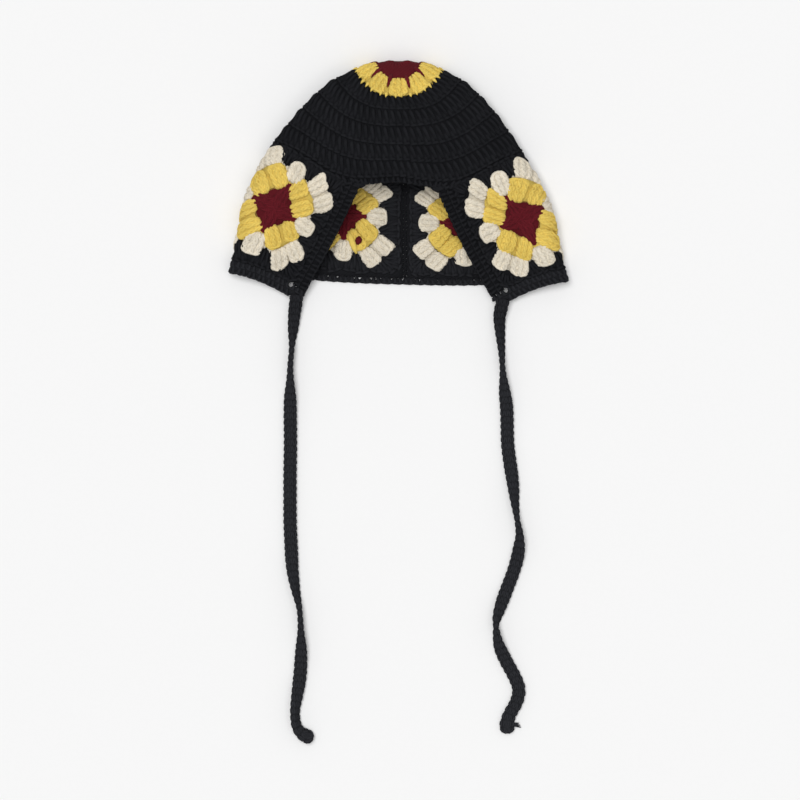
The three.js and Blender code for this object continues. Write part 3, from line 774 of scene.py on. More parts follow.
class Lobes:
    """Plump clusters of stitches. place finds the cloth below millimetres across and along each of them."""

    POSTS = 3  # stitches in one cluster
    POST_SPREAD = 0.94  # how far apart they stand, as a share of an even spread
    POST_WINDING = 7.5  # how far the two plies of a post wind over half its height, in radians
    CHAIN_WINDING = 3.4  # how far those of the chain along the head wind over each post, in radians

    # Sizes as shares of a post's width
    PLY_OFFSET = 0.22
    PLY_RADIUS = 0.25
    WRAP_RADIUS = 0.18
    CHAIN_RADIUS = 0.21

    def __init__(self, place, width, height, depth, taper=0.0):
        self.place, self.depth, self.taper = place, depth, taper
        self.half = np.broadcast_to(width, (place.count,))[:, None] / 2
        self.reach = np.broadcast_to(height, (place.count,))[:, None] / 2

    def spots(self, a, b, lift, face):
        """Points and normals by shares of the half width and height, lifted off the pad on one face."""
        a = np.broadcast_to(a, (self.place.count, a.shape[-1]))
        b = np.broadcast_to(b, a.shape)
        fullness = np.clip(1 - np.abs(a) ** LOBE_POWER - np.abs(b) ** LOBE_POWER, 0, 1)
        points, normals = self.place(a * self.half * (1 + self.taper * b), b * self.reach)
        height = face * (self.depth / 2 * np.sqrt(fullness) + lift)
        return points + normals * height[..., None], normals * face

    def strand(self, skein, a, b, lift, radius):
        """One strand over each pad, on both faces of the cloth."""
        for face in (1, -1):
            centres, normals = self.spots(a, b, lift, face)
            skein.tubes(centres, normals, radius, radius)

    def pads(self, skein):
        """The felted middle of each cluster, a little darker than its strands: painted shade in the dimples
        between them.
        """
        around = np.arange(12) / 12 * 2 * math.pi
        across = np.sign(np.sin(around)) * np.abs(np.sin(around)) ** (2 / LOBE_POWER)
        along = np.sign(np.cos(around)) * np.abs(np.cos(around)) ** (2 / LOBE_POWER)
        rings = []
        for tilt in np.radians([-78, -52, -26, 0, 26, 52, 78]):
            a = across[None] * math.cos(tilt) ** 0.7
            b = along[None] * math.cos(tilt) ** 0.7
            points, normals = self.place(a * self.half * (1 + self.taper * b), b * self.reach)
            rings.append(points + normals * (self.depth / 2 * math.sin(tilt)))
        skein.rings(np.stack(rings, axis=1), 0.4)

    def crochet(self, skein):
        """Lays the posts, the strands round them and the chain along the head over each pad."""
        self.pads(skein)
        count = self.place.count
        step = 2 / self.POSTS
        b = np.linspace(-0.93, 0.86, 12)[None]
        gather = (1 - 0.86 * np.abs(b) ** LOBE_POWER) ** (1 / LOBE_POWER)
        for post in range(self.POSTS):
            middle = (post - (self.POSTS - 1) / 2) * step * self.POST_SPREAD
            start = skein.random.uniform(0, 2 * math.pi, (count, 1))
            for ply in (0, math.pi):
                phase = start + self.POST_WINDING * b + ply
                a = (middle + step * self.PLY_OFFSET * np.cos(phase)) * gather
                self.strand(skein, a, b, -0.3 + 0.35 * np.sin(phase), self.PLY_RADIUS * step * self.half)
            a = middle + step * np.array([[-0.42, -0.16, 0.16, 0.42]])
            shift = skein.random.uniform(-0.08, 0.08, (count, 1))
            wrap = np.array([[-0.16, 0.0, 0.2, 0.34]]) + shift
            lift = np.array([[0.0, 0.6, 0.6, 0.0]])
            self.strand(skein, a * 0.98, wrap, lift, self.WRAP_RADIUS * step * self.half)
        sweep = np.radians(np.linspace(158, 22, 11))[None]
        for ply in (0, math.pi):
            start = skein.random.uniform(0, 2 * math.pi, (count, 1))
            phase = start + self.CHAIN_WINDING * self.POSTS * (1 - sweep / math.pi) + ply
            ring = 0.87 + 0.07 * np.cos(phase)
            a = ring * np.sign(np.cos(sweep)) * np.abs(np.cos(sweep)) ** (2 / LOBE_POWER)
            b = ring * np.abs(np.sin(sweep)) ** (2 / LOBE_POWER)
            self.strand(skein, a, b, 0.4 * np.sin(phase), self.CHAIN_RADIUS * step * self.half)


class SquareSpots:
    """Places lobes on a square: their middles, and the angles that their heads point to."""

    def __init__(self, square, centres, angles):
        self.square, self.centres, self.count = square, centres, len(centres)
        self.ahead = np.stack([np.cos(angles), np.sin(angles)], axis=-1)[:, None]

    def __call__(self, across, along):
        right = np.stack([self.ahead[..., 1], -self.ahead[..., 0]], axis=-1) * self.square[1]
        spot = self.centres[:, None] + self.ahead * along[..., None] + right * across[..., None]
        return square_at(self.square, spot[..., 0], spot[..., 1])


class CrownSpots:
    """Places lobes round the crown: where each lies, and the radius of their middles."""

    def __init__(self, turns, radius):
        self.turns, self.radius, self.count = np.asarray(turns), radius, len(turns)

    def __call__(self, across, along):
        radius = np.clip(self.radius + along, 1.0, None)
        turn = self.turns[:, None] - across / crown_girth(radius)
        return crown_at(turn, radius)


def rope(skein, points, normals, radius, pitch):
    """Two strands wound on each other along a line, as a chain of loops looks from a distance."""
    length = distances(points)
    even = np.linspace(0.0, length[-1], max(5, int(length[-1] / 1.6)))
    line = read_along(even, length, points)
    normal = unit(read_along(even, length, normals))
    side = unit(np.cross(np.gradient(line, axis=0), normal))
    phase = even / pitch * 2 * math.pi
    centres = [
        line + radius * (side * np.cos(phase + turn)[:, None] + normal * np.sin(phase + turn)[:, None])
        for turn in (0.0, math.pi)
    ]
    skein.tubes(np.array(centres), np.array([normal, normal]), radius * 1.15, radius * 1.15, 6)


def fill(node, values):
    """Sets the values of a shader node's inputs."""
    for name, value in values.items():
        node.inputs[name].default_value = value


def yarn_material(name, colour, twist, shine, depth):
    """Plied cotton: the plies wind round the yarn's own length, and its surface is a little fluffy.

    depth is how much painted shade darkens the yarn down in the cloth, compared with its surface.
    """
    material = bpy.data.materials.new(name)
    material.use_nodes = True
    nodes, links = material.node_tree.nodes, material.node_tree.links
    nodes.clear()

    def node(kind, **values):
        made = nodes.new(kind)
        for key, value in values.items():
            setattr(made, key, value)
        return made

    def math_node(operation, first, second=None, third=None):
        made = node("ShaderNodeMath", operation=operation)
        for socket, value in zip(made.inputs, (first, second, third)):
            if value is None:
                continue
            if isinstance(value, (int, float)):
                socket.default_value = value
            else:
                links.new(value, socket)
        return made.outputs[0]

    def noise(scale, detail):
        made = node("ShaderNodeTexNoise")
        fill(made, {"Scale": scale, "Detail": detail})
        links.new(coordinates.outputs["Object"], made.inputs["Vector"])
        return made.outputs["Fac"]

    coordinates = node("ShaderNodeTexCoord")
    split = node("ShaderNodeSeparateXYZ")
    links.new(coordinates.outputs["UV"], split.inputs[0])
    wound = math_node("MULTIPLY", split.outputs["Y"], twist * PLIES)
    plies = math_node("MULTIPLY_ADD", split.outputs["X"], PLIES, wound)
    wave = math_node("SINE", math_node("MULTIPLY", plies, 2 * math.pi))
    ply = math_node("MULTIPLY_ADD", wave, 0.5, 0.5)
    fluff = noise(FLUFF_SCALE, 3.0)
    patches = noise(PATCH_SCALE, 2.0)
    shade = node("ShaderNodeAttribute", attribute_name="shade")

    # The shade attribute holds random tone, painted shade down in the cloth and on the inner side of strands,
    # and painted light; the plies' grooves get painted shade too.
    tone = math_node("MULTIPLY_ADD", shade.outputs["Fac"], depth, 1.0 - 0.75 * depth)
    for part, amount in ((ply, PLY_GROOVE_SHADE), (patches, PATCH_TONE), (fluff, FLUFF_TONE)):
        tone = math_node("MULTIPLY_ADD", part, amount, math_node("SUBTRACT", tone, amount / 2))
    mix = node("ShaderNodeVectorMath", operation="SCALE")
    mix.inputs[0].default_value = colour
    links.new(tone, mix.inputs["Scale"])

    def bump(height, strength, distance):
        made = node("ShaderNodeBump")
        fill(made, {"Strength": strength, "Distance": distance})
        links.new(height, made.inputs["Height"])
        return made

    relief = bump(ply, 0.7, 0.0003)
    fuzz = bump(fluff, 0.6, 0.00015)
    links.new(relief.outputs["Normal"], fuzz.inputs["Normal"])

    shader = node("ShaderNodeBsdfPrincipled")
    sheen = {"Sheen Weight": shine / 2, "Sheen Roughness": 0.45}
    fill(shader, {"Roughness": 0.85, "Specular IOR Level": shine, **sheen})
    links.new(mix.outputs["Vector"], shader.inputs["Base Color"])
    links.new(fuzz.outputs["Normal"], shader.inputs["Normal"])
    output = node("ShaderNodeOutputMaterial")
    links.new(shader.outputs["BSDF"], output.inputs["Surface"])
    return material


def yarn(name):
    """The material of a yarn by its name, made once."""
    if f"{name}_cotton" in bpy.data.materials:
        return bpy.data.materials[f"{name}_cotton"]
    settings = bpy.context.scene.bonnet
    shine, depth = BLACK_SHINE_AND_SHADE if name == "black" else BRIGHT_SHINE_AND_SHADE
    return yarn_material(f"{name}_cotton", tuple(getattr(settings, name)), settings.twist, shine, depth)


def even_turns(count, shift=0.0):
    """Even places round the crown, moved on by a share of the distance between them."""
    return (np.arange(count) + shift) / count * 2 - 1


def crown_core(skein, reach, rows, thickness=CORE):
    """The felted middle of the crown between two radii."""
    turns = np.linspace(-1.0, 1.0, 121)[:-1]
    radii = np.linspace(*reach, rows)
    t, s = np.meshgrid(radii, turns, indexing="ij")
    skein.shell(*crown_at(s, t), ring=True, thickness=thickness)


def crown_round(skein, foot_radius, head_radius, foot_turns, head_turns):
    """One round of stitches on the crown, by where their feet and heads lie round it."""
    foot = np.stack([foot_turns, np.full(len(foot_turns), foot_radius)], axis=-1)
    head = np.stack([head_turns, np.full(len(head_turns), head_radius)], axis=-1)
    foot[:, 1] += skein.random.uniform(-0.3, 0.3, len(foot))
    head[:, 1] += skein.random.uniform(-0.25, 0.25, len(foot))

    def width(turns, radius):
        points = crown_at(turns, np.full(len(turns), radius))[0]
        after = crown_at(turns + 0.01, np.full(len(turns), radius))[0]
        return np.linalg.norm(after - points, axis=-1) / 0.01

    spacing = 2.0 / len(head_turns)
    head_width = np.clip(width(head_turns, head_radius) * spacing, *HEAD_WIDTHS)
    gaps = np.abs((np.roll(foot_turns, -1) - foot_turns + 1) % 2 - 1)
    foot_spacing = np.minimum(gaps, np.roll(gaps, 1))
    foot_width = np.clip(width(foot_turns, foot_radius) * foot_spacing, *FOOT_WIDTHS)
    crocheted(skein, on_cloth(crown_at, foot, head, foot_width, head_width))


def crown_points(skein, turns, shape):
    """Strands that taper to points outwards along the crown, on both faces of the cloth."""
    reach, stray, width, lift, flatness = shape
    width = np.array(width)
    radii = np.linspace(*reach, len(width)) + skein.random.uniform(*stray, (len(turns), 1))
    points, normals = crown_at(np.repeat(turns[:, None], len(width), axis=1), radii)
    for face in (1, -1):
        lifted = points + normals * np.array(lift)[:, None] * face
        skein.tubes(lifted, normals * face, width, width * flatness)


class BONNET_OT_crown(bpy.types.Operator):
    """Crochets the crown: a burgundy round, a round of yellow clusters and five black rounds"""

    bl_idname = "bonnet.crown"
    bl_label = "Crown"

    def execute(self, context):
        centre = Skein(11)
        crown_core(centre, CENTRE_CORE, 9, CENTRE_FELT)
        turns = even_turns(CENTRE_STITCHES)
        crown_round(centre, *CENTRE_ROUND, turns, turns + CENTRE_LEAN)
        crown_points(centre, even_turns(RING_CLUSTERS, 0.5), WEDGES)
        centre.piece("crown_centre_yarn", "crown_centre", yarn("burgundy"), "burgundy_yarn")

        ring = Skein(12)
        crown_core(ring, RING_CORE, 4)
        place = CrownSpots(even_turns(RING_CLUSTERS), RING_MIDDLE)
        width = RING_FULLNESS * crown_girth(RING_WAIST) / RING_CLUSTERS
        Lobes(place, width, *RING_CLUSTER).crochet(ring)
        crown_points(ring, even_turns(RING_TIPS, ring.random.uniform(0.3, 0.7, RING_TIPS)), TIPS)
        ring.piece("crown_ring_yarn", "crown_ring", yarn("yellow"), "yellow_yarn")

        dome = Skein(13)
        crown_core(dome, DOME_CORE, 26)
        radii = [row[0] for row in CROWN_ROWS[2:]]
        for number, (low, high) in enumerate(zip(radii[:-1], radii[1:])):
            loop = crown_at(np.linspace(-1, 0.999, 200), np.full(200, high))[0]
            count = int(round(distances(loop)[-1] / DOME_STITCH))
            turns = even_turns(count, 0.5 * (number % 2))
            crown_round(dome, low - FEET_TUCK, high - HEADS_BELOW, turns, turns + HEAD_LEAN / count)
        dome.piece("crown_dome_yarn", "crown_dome", yarn("black"), "black_yarn")
        return {"FINISHED"}


def outline_points(shares):
    """The outline of a round of a square, in millimetres from its middle."""
    steps = len(shares) - 1
    points = []
    for quarter in range(4):
        for step in range(-steps, steps):
            share = shares[abs(step)]
            spot = np.array([share * step / steps, share]) * SQUARE_HALF
            points.append(quarter_turned(spot, quarter))
    return np.array(points)


def square_core(skein, square, inner, outer, rows, thickness):
    """The felted middle of a round between two outlines, cut back where a side square has its small hole."""
    if not square[2]:
        outer[np.all(outer < -0.99 * SQUARE_HALF, axis=1)] *= HOLE_CORNER
    t = np.linspace(0.0, 1.0, rows)[:, None, None]
    grid = inner * (1 - t) + outer * t
    if square[1] > 0:
        grid = grid[:, ::-1]
    skein.shell(*square_at(square, grid[..., 0], grid[..., 1]), ring=True, thickness=thickness)


def lobe_places(distance, sideways, fanning, from_corner):
    """Middles and angles of lobes in all four quarters of a square, at the corners or at the sides."""
    middles, angles = [], []
    for quarter in range(4):
        facing = math.radians((45 if from_corner else 90) - 90 * quarter)
        ahead = np.array([math.cos(facing), math.sin(facing)])
        right = np.array([ahead[1], -ahead[0]])
        for sign in (-1, 1) if sideways else (0,):
            middles.append(ahead * distance + right * sign * sideways)
            angles.append(facing - math.radians(fanning) * sign)
    return np.array(middles), np.array(angles)


# Each round's clusters: distance of the middle, sideways, fanning in degrees, at the corners or not,
# width, height, thickness and taper
CLUSTERS = {
    "star": ((10.0, 0.0, 0.0, False, 13.6, 24.0, 4.4, -0.42),),
    "inner_round": ((23.4, 7.6, 3.0, True, 15.6, 22.4, 6.2, 0.1),),
    "outer_round": (
        (43.6, 8.2, 9.0, True, 17.4, 19.8, 5.6, 0.04),
        (31.6, 0.0, 0.0, False, 18.6, 20.6, 5.8, 0.08),
    ),
}

# Two strands of the left back square that have slipped over their neighbours: where they lie and how thick
LOOSE_STRANDS = {
    "square_back_left_star": (
        ((-33.2, -45.4, 5.6), (-33.6, -47.6, 6.6), (-34.2, -49.8, 6.6), (-34.8, -52.4, 5.8)), 3.2,
    ),
    "square_back_left_inner_round": (
        (
            (-42.6, -41.0, 5.0), (-40.8, -46.0, 6.0), (-39.2, -50.6, 6.4), (-37.6, -55.0, 6.4),
            (-35.6, -60.0, 5.6),
        ), 2.9,
    ),
}

# The rounds of a square: name, yarn, the outlines that it lies between, the shares of them where the felted
# middle starts and ends, its rows of points, and its thickness in shares of the usual one
ROUNDS = (
    ("star", "burgundy", STAR_MIDDLE, STAR_OUTLINE, 1.0, 1.0, 4, 1.0),
    ("inner_round", "yellow", STAR_OUTLINE, RING_OUTLINE, 0.95, 0.95, 4, 1.0),
    ("outer_round", "cream", RING_OUTLINE, PETAL_OUTLINE, 0.93, 0.93, 4, 1.0),
    ("border", "black", PETAL_OUTLINE, SQUARE_OUTLINE, 0.86, 1.0, 3, 0.6),
)

# The black round of a square, for each half side: where four feet lie, how far apart, how far out and how
# they slant, and where the heads over them lie
BORDER_GROUPS = (
    (12.6, 2.4, 33.4, 0.0, 12.4),
    (35.2, 2.0, 40.6, 1.1, 37.2),
)
BORDER_HEAD = 49.2  # how far out the heads are
BORDER_SPACING = 6.2
BORDER_FOOT = 3.4  # how wide a foot is

# How far the clusters stray in millimetres, how far they turn in radians, and the shares of their width
CLUSTER_STRAY = 0.7
CLUSTER_TURN = 0.07
CLUSTER_WIDTHS = (0.96, 1.05)


def clusters(skein, square, name):
    """The clusters of one round of a square, each a little out of place."""
    for distance, sideways, fanning, from_corner, width, height, depth, taper in CLUSTERS[name]:
        middles, angles = lobe_places(distance, sideways, fanning, from_corner)
        count = len(middles)
        middles = middles + skein.random.uniform(-CLUSTER_STRAY, CLUSTER_STRAY, middles.shape)
        angles = angles + skein.random.uniform(-CLUSTER_TURN, CLUSTER_TURN, count)
        widths = width * skein.random.uniform(*CLUSTER_WIDTHS, count)
        place = SquareSpots(square, middles, angles)
        Lobes(place, widths, height, depth, taper).crochet(skein)


def border_stitches(skein, square):
    """The black round of a square, whose feet gather between the clusters inside it."""
    spread = np.array([-1.5, -0.5, 0.5, 1.5])
    for quarter in range(4):
        for sign in (-1, 1):
            for foot_x, foot_step, foot_y, slope, head_x in BORDER_GROUPS:
                foot = np.stack([sign * (foot_x + spread * foot_step), foot_y - spread * slope], axis=-1)
                head_places = sign * (head_x + spread * BORDER_SPACING)
                head = np.stack([head_places, np.full(4, BORDER_HEAD)], axis=-1)
                foot, head = quarter_turned(foot, quarter), quarter_turned(head, quarter)
                foot = foot + skein.random.uniform(-SMALL_JITTER, SMALL_JITTER, foot.shape)
                head = head + skein.random.uniform(-SMALL_JITTER, SMALL_JITTER, head.shape)
                at = partial(square_at, square)
                crocheted(skein, on_cloth(at, foot, head, BORDER_FOOT, BORDER_SPACING))


def crochet_round(square, seed, name, colour, inner, outer, rows, thickness):
    """One round of a square, as a piece of its own."""
    # The back squares' borders lie in shade inside the bonnet, and painted light lifts it.
    skein = Skein(seed, painted_light=INSIDE_PAINTED_LIGHT if name == "border" and square[2] else 0.0)
    square_core(skein, square, inner, outer, rows, thickness)
    if name == "border":
        border_stitches(skein, square)
    else:
        clusters(skein, square, name)
    node = f"{square[0]}_{name}"
    if node in LOOSE_STRANDS:
        line, radius = LOOSE_STRANDS[node]
        width = radius * np.sin(np.linspace(0.2, 0.8, len(line)) * math.pi)
        skein.tubes(np.array([line]), np.array([[(0.0, 0.0, 1.0)] * len(line)]), width, width * 0.7, 8)
    return skein.piece(f"{node}_yarn", node, yarn(colour), f"{colour}_yarn")


class BONNET_OT_squares(bpy.types.Operator):
    """Crochets the four granny squares of the band, each in four coloured rounds"""

    bl_idname = "bonnet.squares"
    bl_label = "Granny squares"

    def execute(self, context):
        for number, square in enumerate(SQUARES):
            for place, (name, colour, inside, outside, start, end, rows, felt) in enumerate(ROUNDS):
                seed = 20 + len(ROUNDS) * number + place
                inner = outline_points(inside) * start
                outer = outline_points(outside) * end
                crochet_round(square, seed, name, colour, inner, outer, rows, felt * CORE)
        return {"FINISHED"}


# The seams: name, side and column of the band, and seed
SEAMS = (("left", -1, 1.0, 51), ("back", 1, 2.0, 52), ("right", 1, 1.0, 53))


class BONNET_OT_seams(bpy.types.Operator):
    """Sews the squares together along the sides and the middle of the back"""

    bl_idname = "bonnet.seams"
    bl_label = "Seams"

    def execute(self, context):
        downs = np.linspace(0.01, 0.99, 40)
        for name, side, column, seed in SEAMS:
            skein = Skein(seed)
            points, normals = BAND_CLOTH[side].at(np.full(40, column), downs)
            rope(skein, points, normals, SEAM_STRAND, SEAM_PITCH)
            skein.piece(f"seam_{name}_yarn", f"seam_{name}", yarn("black"), "black_yarn")
        return {"FINISHED"}


def face_edge():
    """Points, normals, directions out of the cloth and widths round the face opening, right to left."""
    rows = []

    def cheek(side, downs):
        spot, normal = BAND_CLOTH[side].at(np.zeros(len(downs)), downs)
        beside = BAND_CLOTH[side].at(np.full(len(downs), 0.02), downs)[0]
        return [spot, normal, unit(spot - beside), np.full(len(downs), CHEEK_EDGING)]

    rows.append(cheek(1, np.linspace(1.0, 0.03, 60)))
    turns = np.linspace(0.97, -0.97, 60) * rim_turn(0.0)
    spot, normal = crown_at(turns, np.full(60, RIM_RADIUS))
    inside = crown_at(turns, np.full(60, RIM_RADIUS - 1))[0]
    toward_corner = np.clip((np.abs(turns) / rim_turn(0.0) - BROW_PLAIN) / (1 - BROW_PLAIN), 0, 1)
    out = unit(spot - inside)
    out[:, 0] -= np.sign(spot[:, 0]) * CORNER_LEAN * toward_corner
    rows.append([spot, normal, unit(out), EDGING_WIDTH + (CHEEK_EDGING - EDGING_WIDTH) * toward_corner])
    rows.append(cheek(-1, np.linspace(0.03, 1.0, 60)))
    return [np.concatenate(parts) for parts in zip(*rows)]


def spread_along(line, others, spacing):
    """Even places along a line, and what the other rows hold there."""
    length = distances(line)
    count = int(round(length[-1] / spacing))
    even = (np.arange(count) + 0.5) * length[-1] / count
    return [read_along(even, length, rows) for rows in (line, *others)]


def edging_row(skein, line, normals, outs, start, height):
    """A row of short stitches that stand out from an edge, their feet drawn together by twos."""
    line, normals, outs, start, height = spread_along(
        line, (normals, outs, start[:, None], height[:, None]), EDGING_STITCH,
    )
    normals, outs = unit(normals), unit(outs)
    side = unit(np.gradient(line, axis=0))
    lean = EDGING_LEAN * np.where(np.arange(len(line)) % 2, -1.0, 1.0)[:, None]
    t = np.linspace(-0.12, 1.0, 5)[None, :, None]
    foot = line + outs * start
    points = foot[:, None] + (outs * height)[:, None] * t + (side * lean)[:, None] * (1 - t)
    normals = np.repeat(normals[:, None], 5, axis=1)
    stitches = Stitches(points, normals, EDGING_STITCH * 0.86, EDGING_STITCH)
    crocheted(skein, stitches, tall=False)


def core_strip(skein, line, normals, outs, start, end):
    """The felted middle of an edging, from start to end out of its line."""
    steps = np.linspace(0.0, 1.0, 3)[None, :, None]
    span = np.asarray(start)[:, None, None] * (1 - steps) + np.asarray(end)[:, None, None] * steps
    points = line[:, None] + outs[:, None] * span
    skein.shell(points, np.repeat(normals[:, None], 3, axis=1))


def edging_rows(skein, line, normals, outs, width):
    """One row of stitches along an edge, and a second one where the edging is wide."""
    first = np.minimum(EDGING_WIDTH * FIRST_ROW[0], width * FIRST_ROW[1])
    edging_row(skein, line, normals, outs, first * 0, first)
    wide = width > EDGING_WIDTH + SECOND_ROW
    edges = np.flatnonzero(np.diff(np.concatenate([[0], wide.astype(int), [0]])))
    for start, stop in zip(edges[::2], edges[1::2]):
        part = slice(int(start), int(stop))
        low = first[part] + ROW_GAP
        edging_row(skein, line[part], normals[part], outs[part], low, width[part] - low - ROW_SHORT)


class BONNET_OT_face_edging(bpy.types.Operator):
    """Works the rows of stitches round the face opening, one over the brow and two on the cheeks"""

    bl_idname = "bonnet.face_edging"
    bl_label = "Face edging"

    def execute(self, context):
        skein = Skein(61)
        line, normals, outs, width = face_edge()
        core_strip(skein, line, normals, outs, width * 0 - EDGING_OVERLAP, width * 0.9)
        edging_rows(skein, line, normals, outs, width)
        skein.piece("face_edging_yarn", "face_edging", yarn("black"), "black_yarn")
        return {"FINISHED"}


def neck_edge():
    """Points, normals, directions and widths along the neck, from the right front round the back."""
    columns = np.linspace(0.0, 2.0, 90)
    parts = []
    for side in (1, -1):
        spot, normal = BAND_CLOTH[side].at(columns, np.ones(90))
        above = BAND_CLOTH[side].at(columns, np.full(90, 0.98))[0]
        out = unit(spot - above)
        across = unit(spot[0] - spot[1])
        narrowing = np.clip((columns - FLAP_END) / FLAP_FADE, 0, 1)
        width = FLAP_EDGING + (EDGING_WIDTH - FLAP_EDGING) * narrowing
        spot = np.concatenate([[spot[0] + across * CHEEK_EDGING], spot])
        rows = [spot, np.concatenate([normal[:1], normal]), np.concatenate([out[:1], out])]
        rows.append(np.concatenate([[EDGING_WIDTH], width]))
        parts.append(rows if side > 0 else [row[::-1][1:] for row in rows])
    return [np.concatenate([right, left]) for right, left in zip(*parts)]


class BONNET_OT_neck_edging(bpy.types.Operator):
    """Works the rows of stitches along the neck, two on the flaps and one behind"""

    bl_idname = "bonnet.neck_edging"
    bl_label = "Neck edging"

    def execute(self, context):
        # The neck edging is lightened with painted light.
        skein = Skein(62, painted_light=EDGING_PAINTED_LIGHT)
        line, normals, outs, width = neck_edge()
        behind = (FLAP_EDGING - width) / (FLAP_EDGING - EDGING_WIDTH)
        to_hole = np.min([np.linalg.norm(line[:, :2] - middle, axis=1) for middle in PINHOLES], axis=0)
        loose = behind * (skein.random.random(len(line)) > NECK_CLOSED)
        start = NECK_GAP * loose - EDGING_OVERLAP + HOLE_CUT * np.exp(-((to_hole / HOLE_CUT_REACH) ** 2))
        core_strip(skein, line, normals, outs, start, width - 0.8)
        edging_rows(skein, line, normals, outs, width)
        skein.piece("neck_edging_yarn", "neck_edging", yarn("black"), "black_yarn")
        return {"FINISHED"}


def tie_path(rows):
    """The tie's middle line about every millimetre, with the directions across and through the strip."""
    rows = np.array(rows, float)
    half = np.radians(rows[:, 2])
    height = np.abs(np.sin(half)) * TIE_HALF_WIDTH + np.abs(np.cos(half)) * TIE_HALF_THICKNESS + 0.3
    knots = np.stack([rows[:, 0], OUTLINE_TOP - rows[:, 1], height, half], axis=-1)
    for row, level in enumerate(TIE_START):
        knots[row, 2] = max(knots[row, 2], level)
    length = distances(knots[:, :2])
    even = np.linspace(0.0, length[-1], int(length[-1] / 1.15))
    line = np.stack([smooth_curve(length, knots[:, k])(even) for k in range(4)], axis=-1)
    kernel = np.ones(9) / 9
    for k in range(4):
        padded = np.pad(line[:, k], 4, mode="reflect", reflect_type="odd")
        line[:, k] = np.convolve(padded, kernel, mode="valid")
    middle = line[:, :3]
    tangent = unit(np.gradient(middle, axis=0))
    flat = unit(np.cross(tangent, np.array([0.0, 0.0, 1.0])))
    above = np.cross(flat, tangent)
    turn = line[:, 3:4]
    across = flat * np.cos(turn) + above * np.sin(turn)
    through = above * np.cos(turn) - flat * np.sin(turn)
    return middle, across, through


def rounded_end(to_end):
    """How wide the strip still is at a distance from its end, where it thickens a little before it closes."""
    closing = np.sqrt(1 - (1 - np.clip(to_end / TIE_HALF_WIDTH, 0.03, 1)) ** 2)
    thicker, middle, reach = TIE_KNOB
    return closing * (1 + thicker * np.exp(-(((to_end - middle) / reach) ** 2)))


def less_painted_light(distance):
    """How much less painted light the tie has near the flap, where it matches the edging's, in shares of a
    strand's shade.
    """
    return (TIE_PAINTED_LIGHT - EDGING_PAINTED_LIGHT) / STRAND_SHADE * np.exp(-((distance / PAINTED_LIGHT_FADE) ** 2))


def tie_strip(skein, middle, across, through):
    """The strip's felted middle: a flat tube with rounded edges, that closes to a round end. Its low shade is
    painted shade between the stitches.
    """
    sides = 14
    angle = (np.arange(sides) + 0.5) / sides * 2 * math.pi
    distance = distances(middle)
    to_end = distance[-1] - distance
    closing = rounded_end(to_end)
    scallop = 1 + 0.07 * np.abs(np.sin(math.pi * distance / TIE_ROW))
    half = (TIE_HALF_WIDTH - 1.0) * closing * scallop
    deep = (TIE_HALF_THICKNESS - 0.9) * (0.35 + 0.65 * closing)
    ring = (
        middle[:, None]
        + np.cos(angle)[:, None] * across[:, None] * half[:, None, None]
        + np.sin(angle)[:, None] * through[:, None] * deep[:, None, None]
    )
    rows = len(middle)
    k = np.arange(rows - 1)[:, None] * sides
    i = np.arange(sides)[None]
    n = (i + 1) % sides
    walls = np.stack([k + i, k + n, k + sides + n, k + sides + i], axis=-1).reshape(-1, 4)
    uv = np.stack([np.tile(i / sides, (rows - 1, 1))] * 4, axis=-1)
    v = distance[:, None] / UV_LENGTH
    v = np.stack([np.tile(v[:-1], (1, sides))] * 2 + [np.tile(v[1:], (1, sides))] * 2, axis=-1)
    wall_uv = np.stack([uv, v], axis=-1).reshape(-1)
    first = np.arange(sides)[::-1]
    last = np.arange(sides) + (rows - 1) * sides
    cap_uv = np.zeros(2 * sides)
    skein.add(
        ring.reshape(-1, 3), (walls, np.array([first, last])), (wall_uv, np.tile(cap_uv, 2)),
        np.repeat(0.3 - STRAND_SHADE * less_painted_light(distance), sides),
    )


def tie_stitches(skein, middle, across, through):
    """Rows of short stitches on both faces of the strip, and the loops that turn at its edges."""
    distance = distances(middle)

    def spot(where, over, out):
        where = np.clip(where, 0.0, distance[-1])
        squeeze = rounded_end(distance[-1] + 0.3 - where)
        facing = unit(read_along(where, distance, through))
        beside = unit(read_along(where, distance, across)) * (over * squeeze)[..., None]
        return read_along(where, distance, middle) + beside + facing * out[..., None], facing

    def sew(where, over, out, face, wide, deep, sides):
        centres, normals = spot(where, over + 0 * where, out + 0 * where)
        shade = skein.random.random(len(rows)) - less_painted_light(start)
        skein.tubes(centres, normals * face, wide, deep, sides, shade)

    rows = np.arange(int(distance[-1] / TIE_ROW))
    start = rows * TIE_ROW + 0.3
    t = np.linspace(0.0, 1.0, 4)[None]
    for face in (1, -1):
        for column in (-1, 0, 1):
            for lean in (-1, 1):
                where = start[:, None] + t * (TIE_ROW + 0.9) - 0.4
                over = column * TIE_COLUMN + lean * (1.5 - 1.15 * t)
                out = face * (1.15 + 0.45 * np.sin(math.pi * t))
                sew(where, over, out, face, TIE_STRAND, TIE_STRAND, 5)
    for edge in (1, -1):
        where = start[:, None] + t * TIE_ROW
        over = edge * (TIE_HALF_WIDTH - 1.55 + 0.95 * np.sin(math.pi * t))
        out = (t - 0.5) * 1.6 * np.where(rows % 2, 1, -1)[:, None]
        sew(where, over, out, 1, *TIE_EDGE_STRAND, 6)


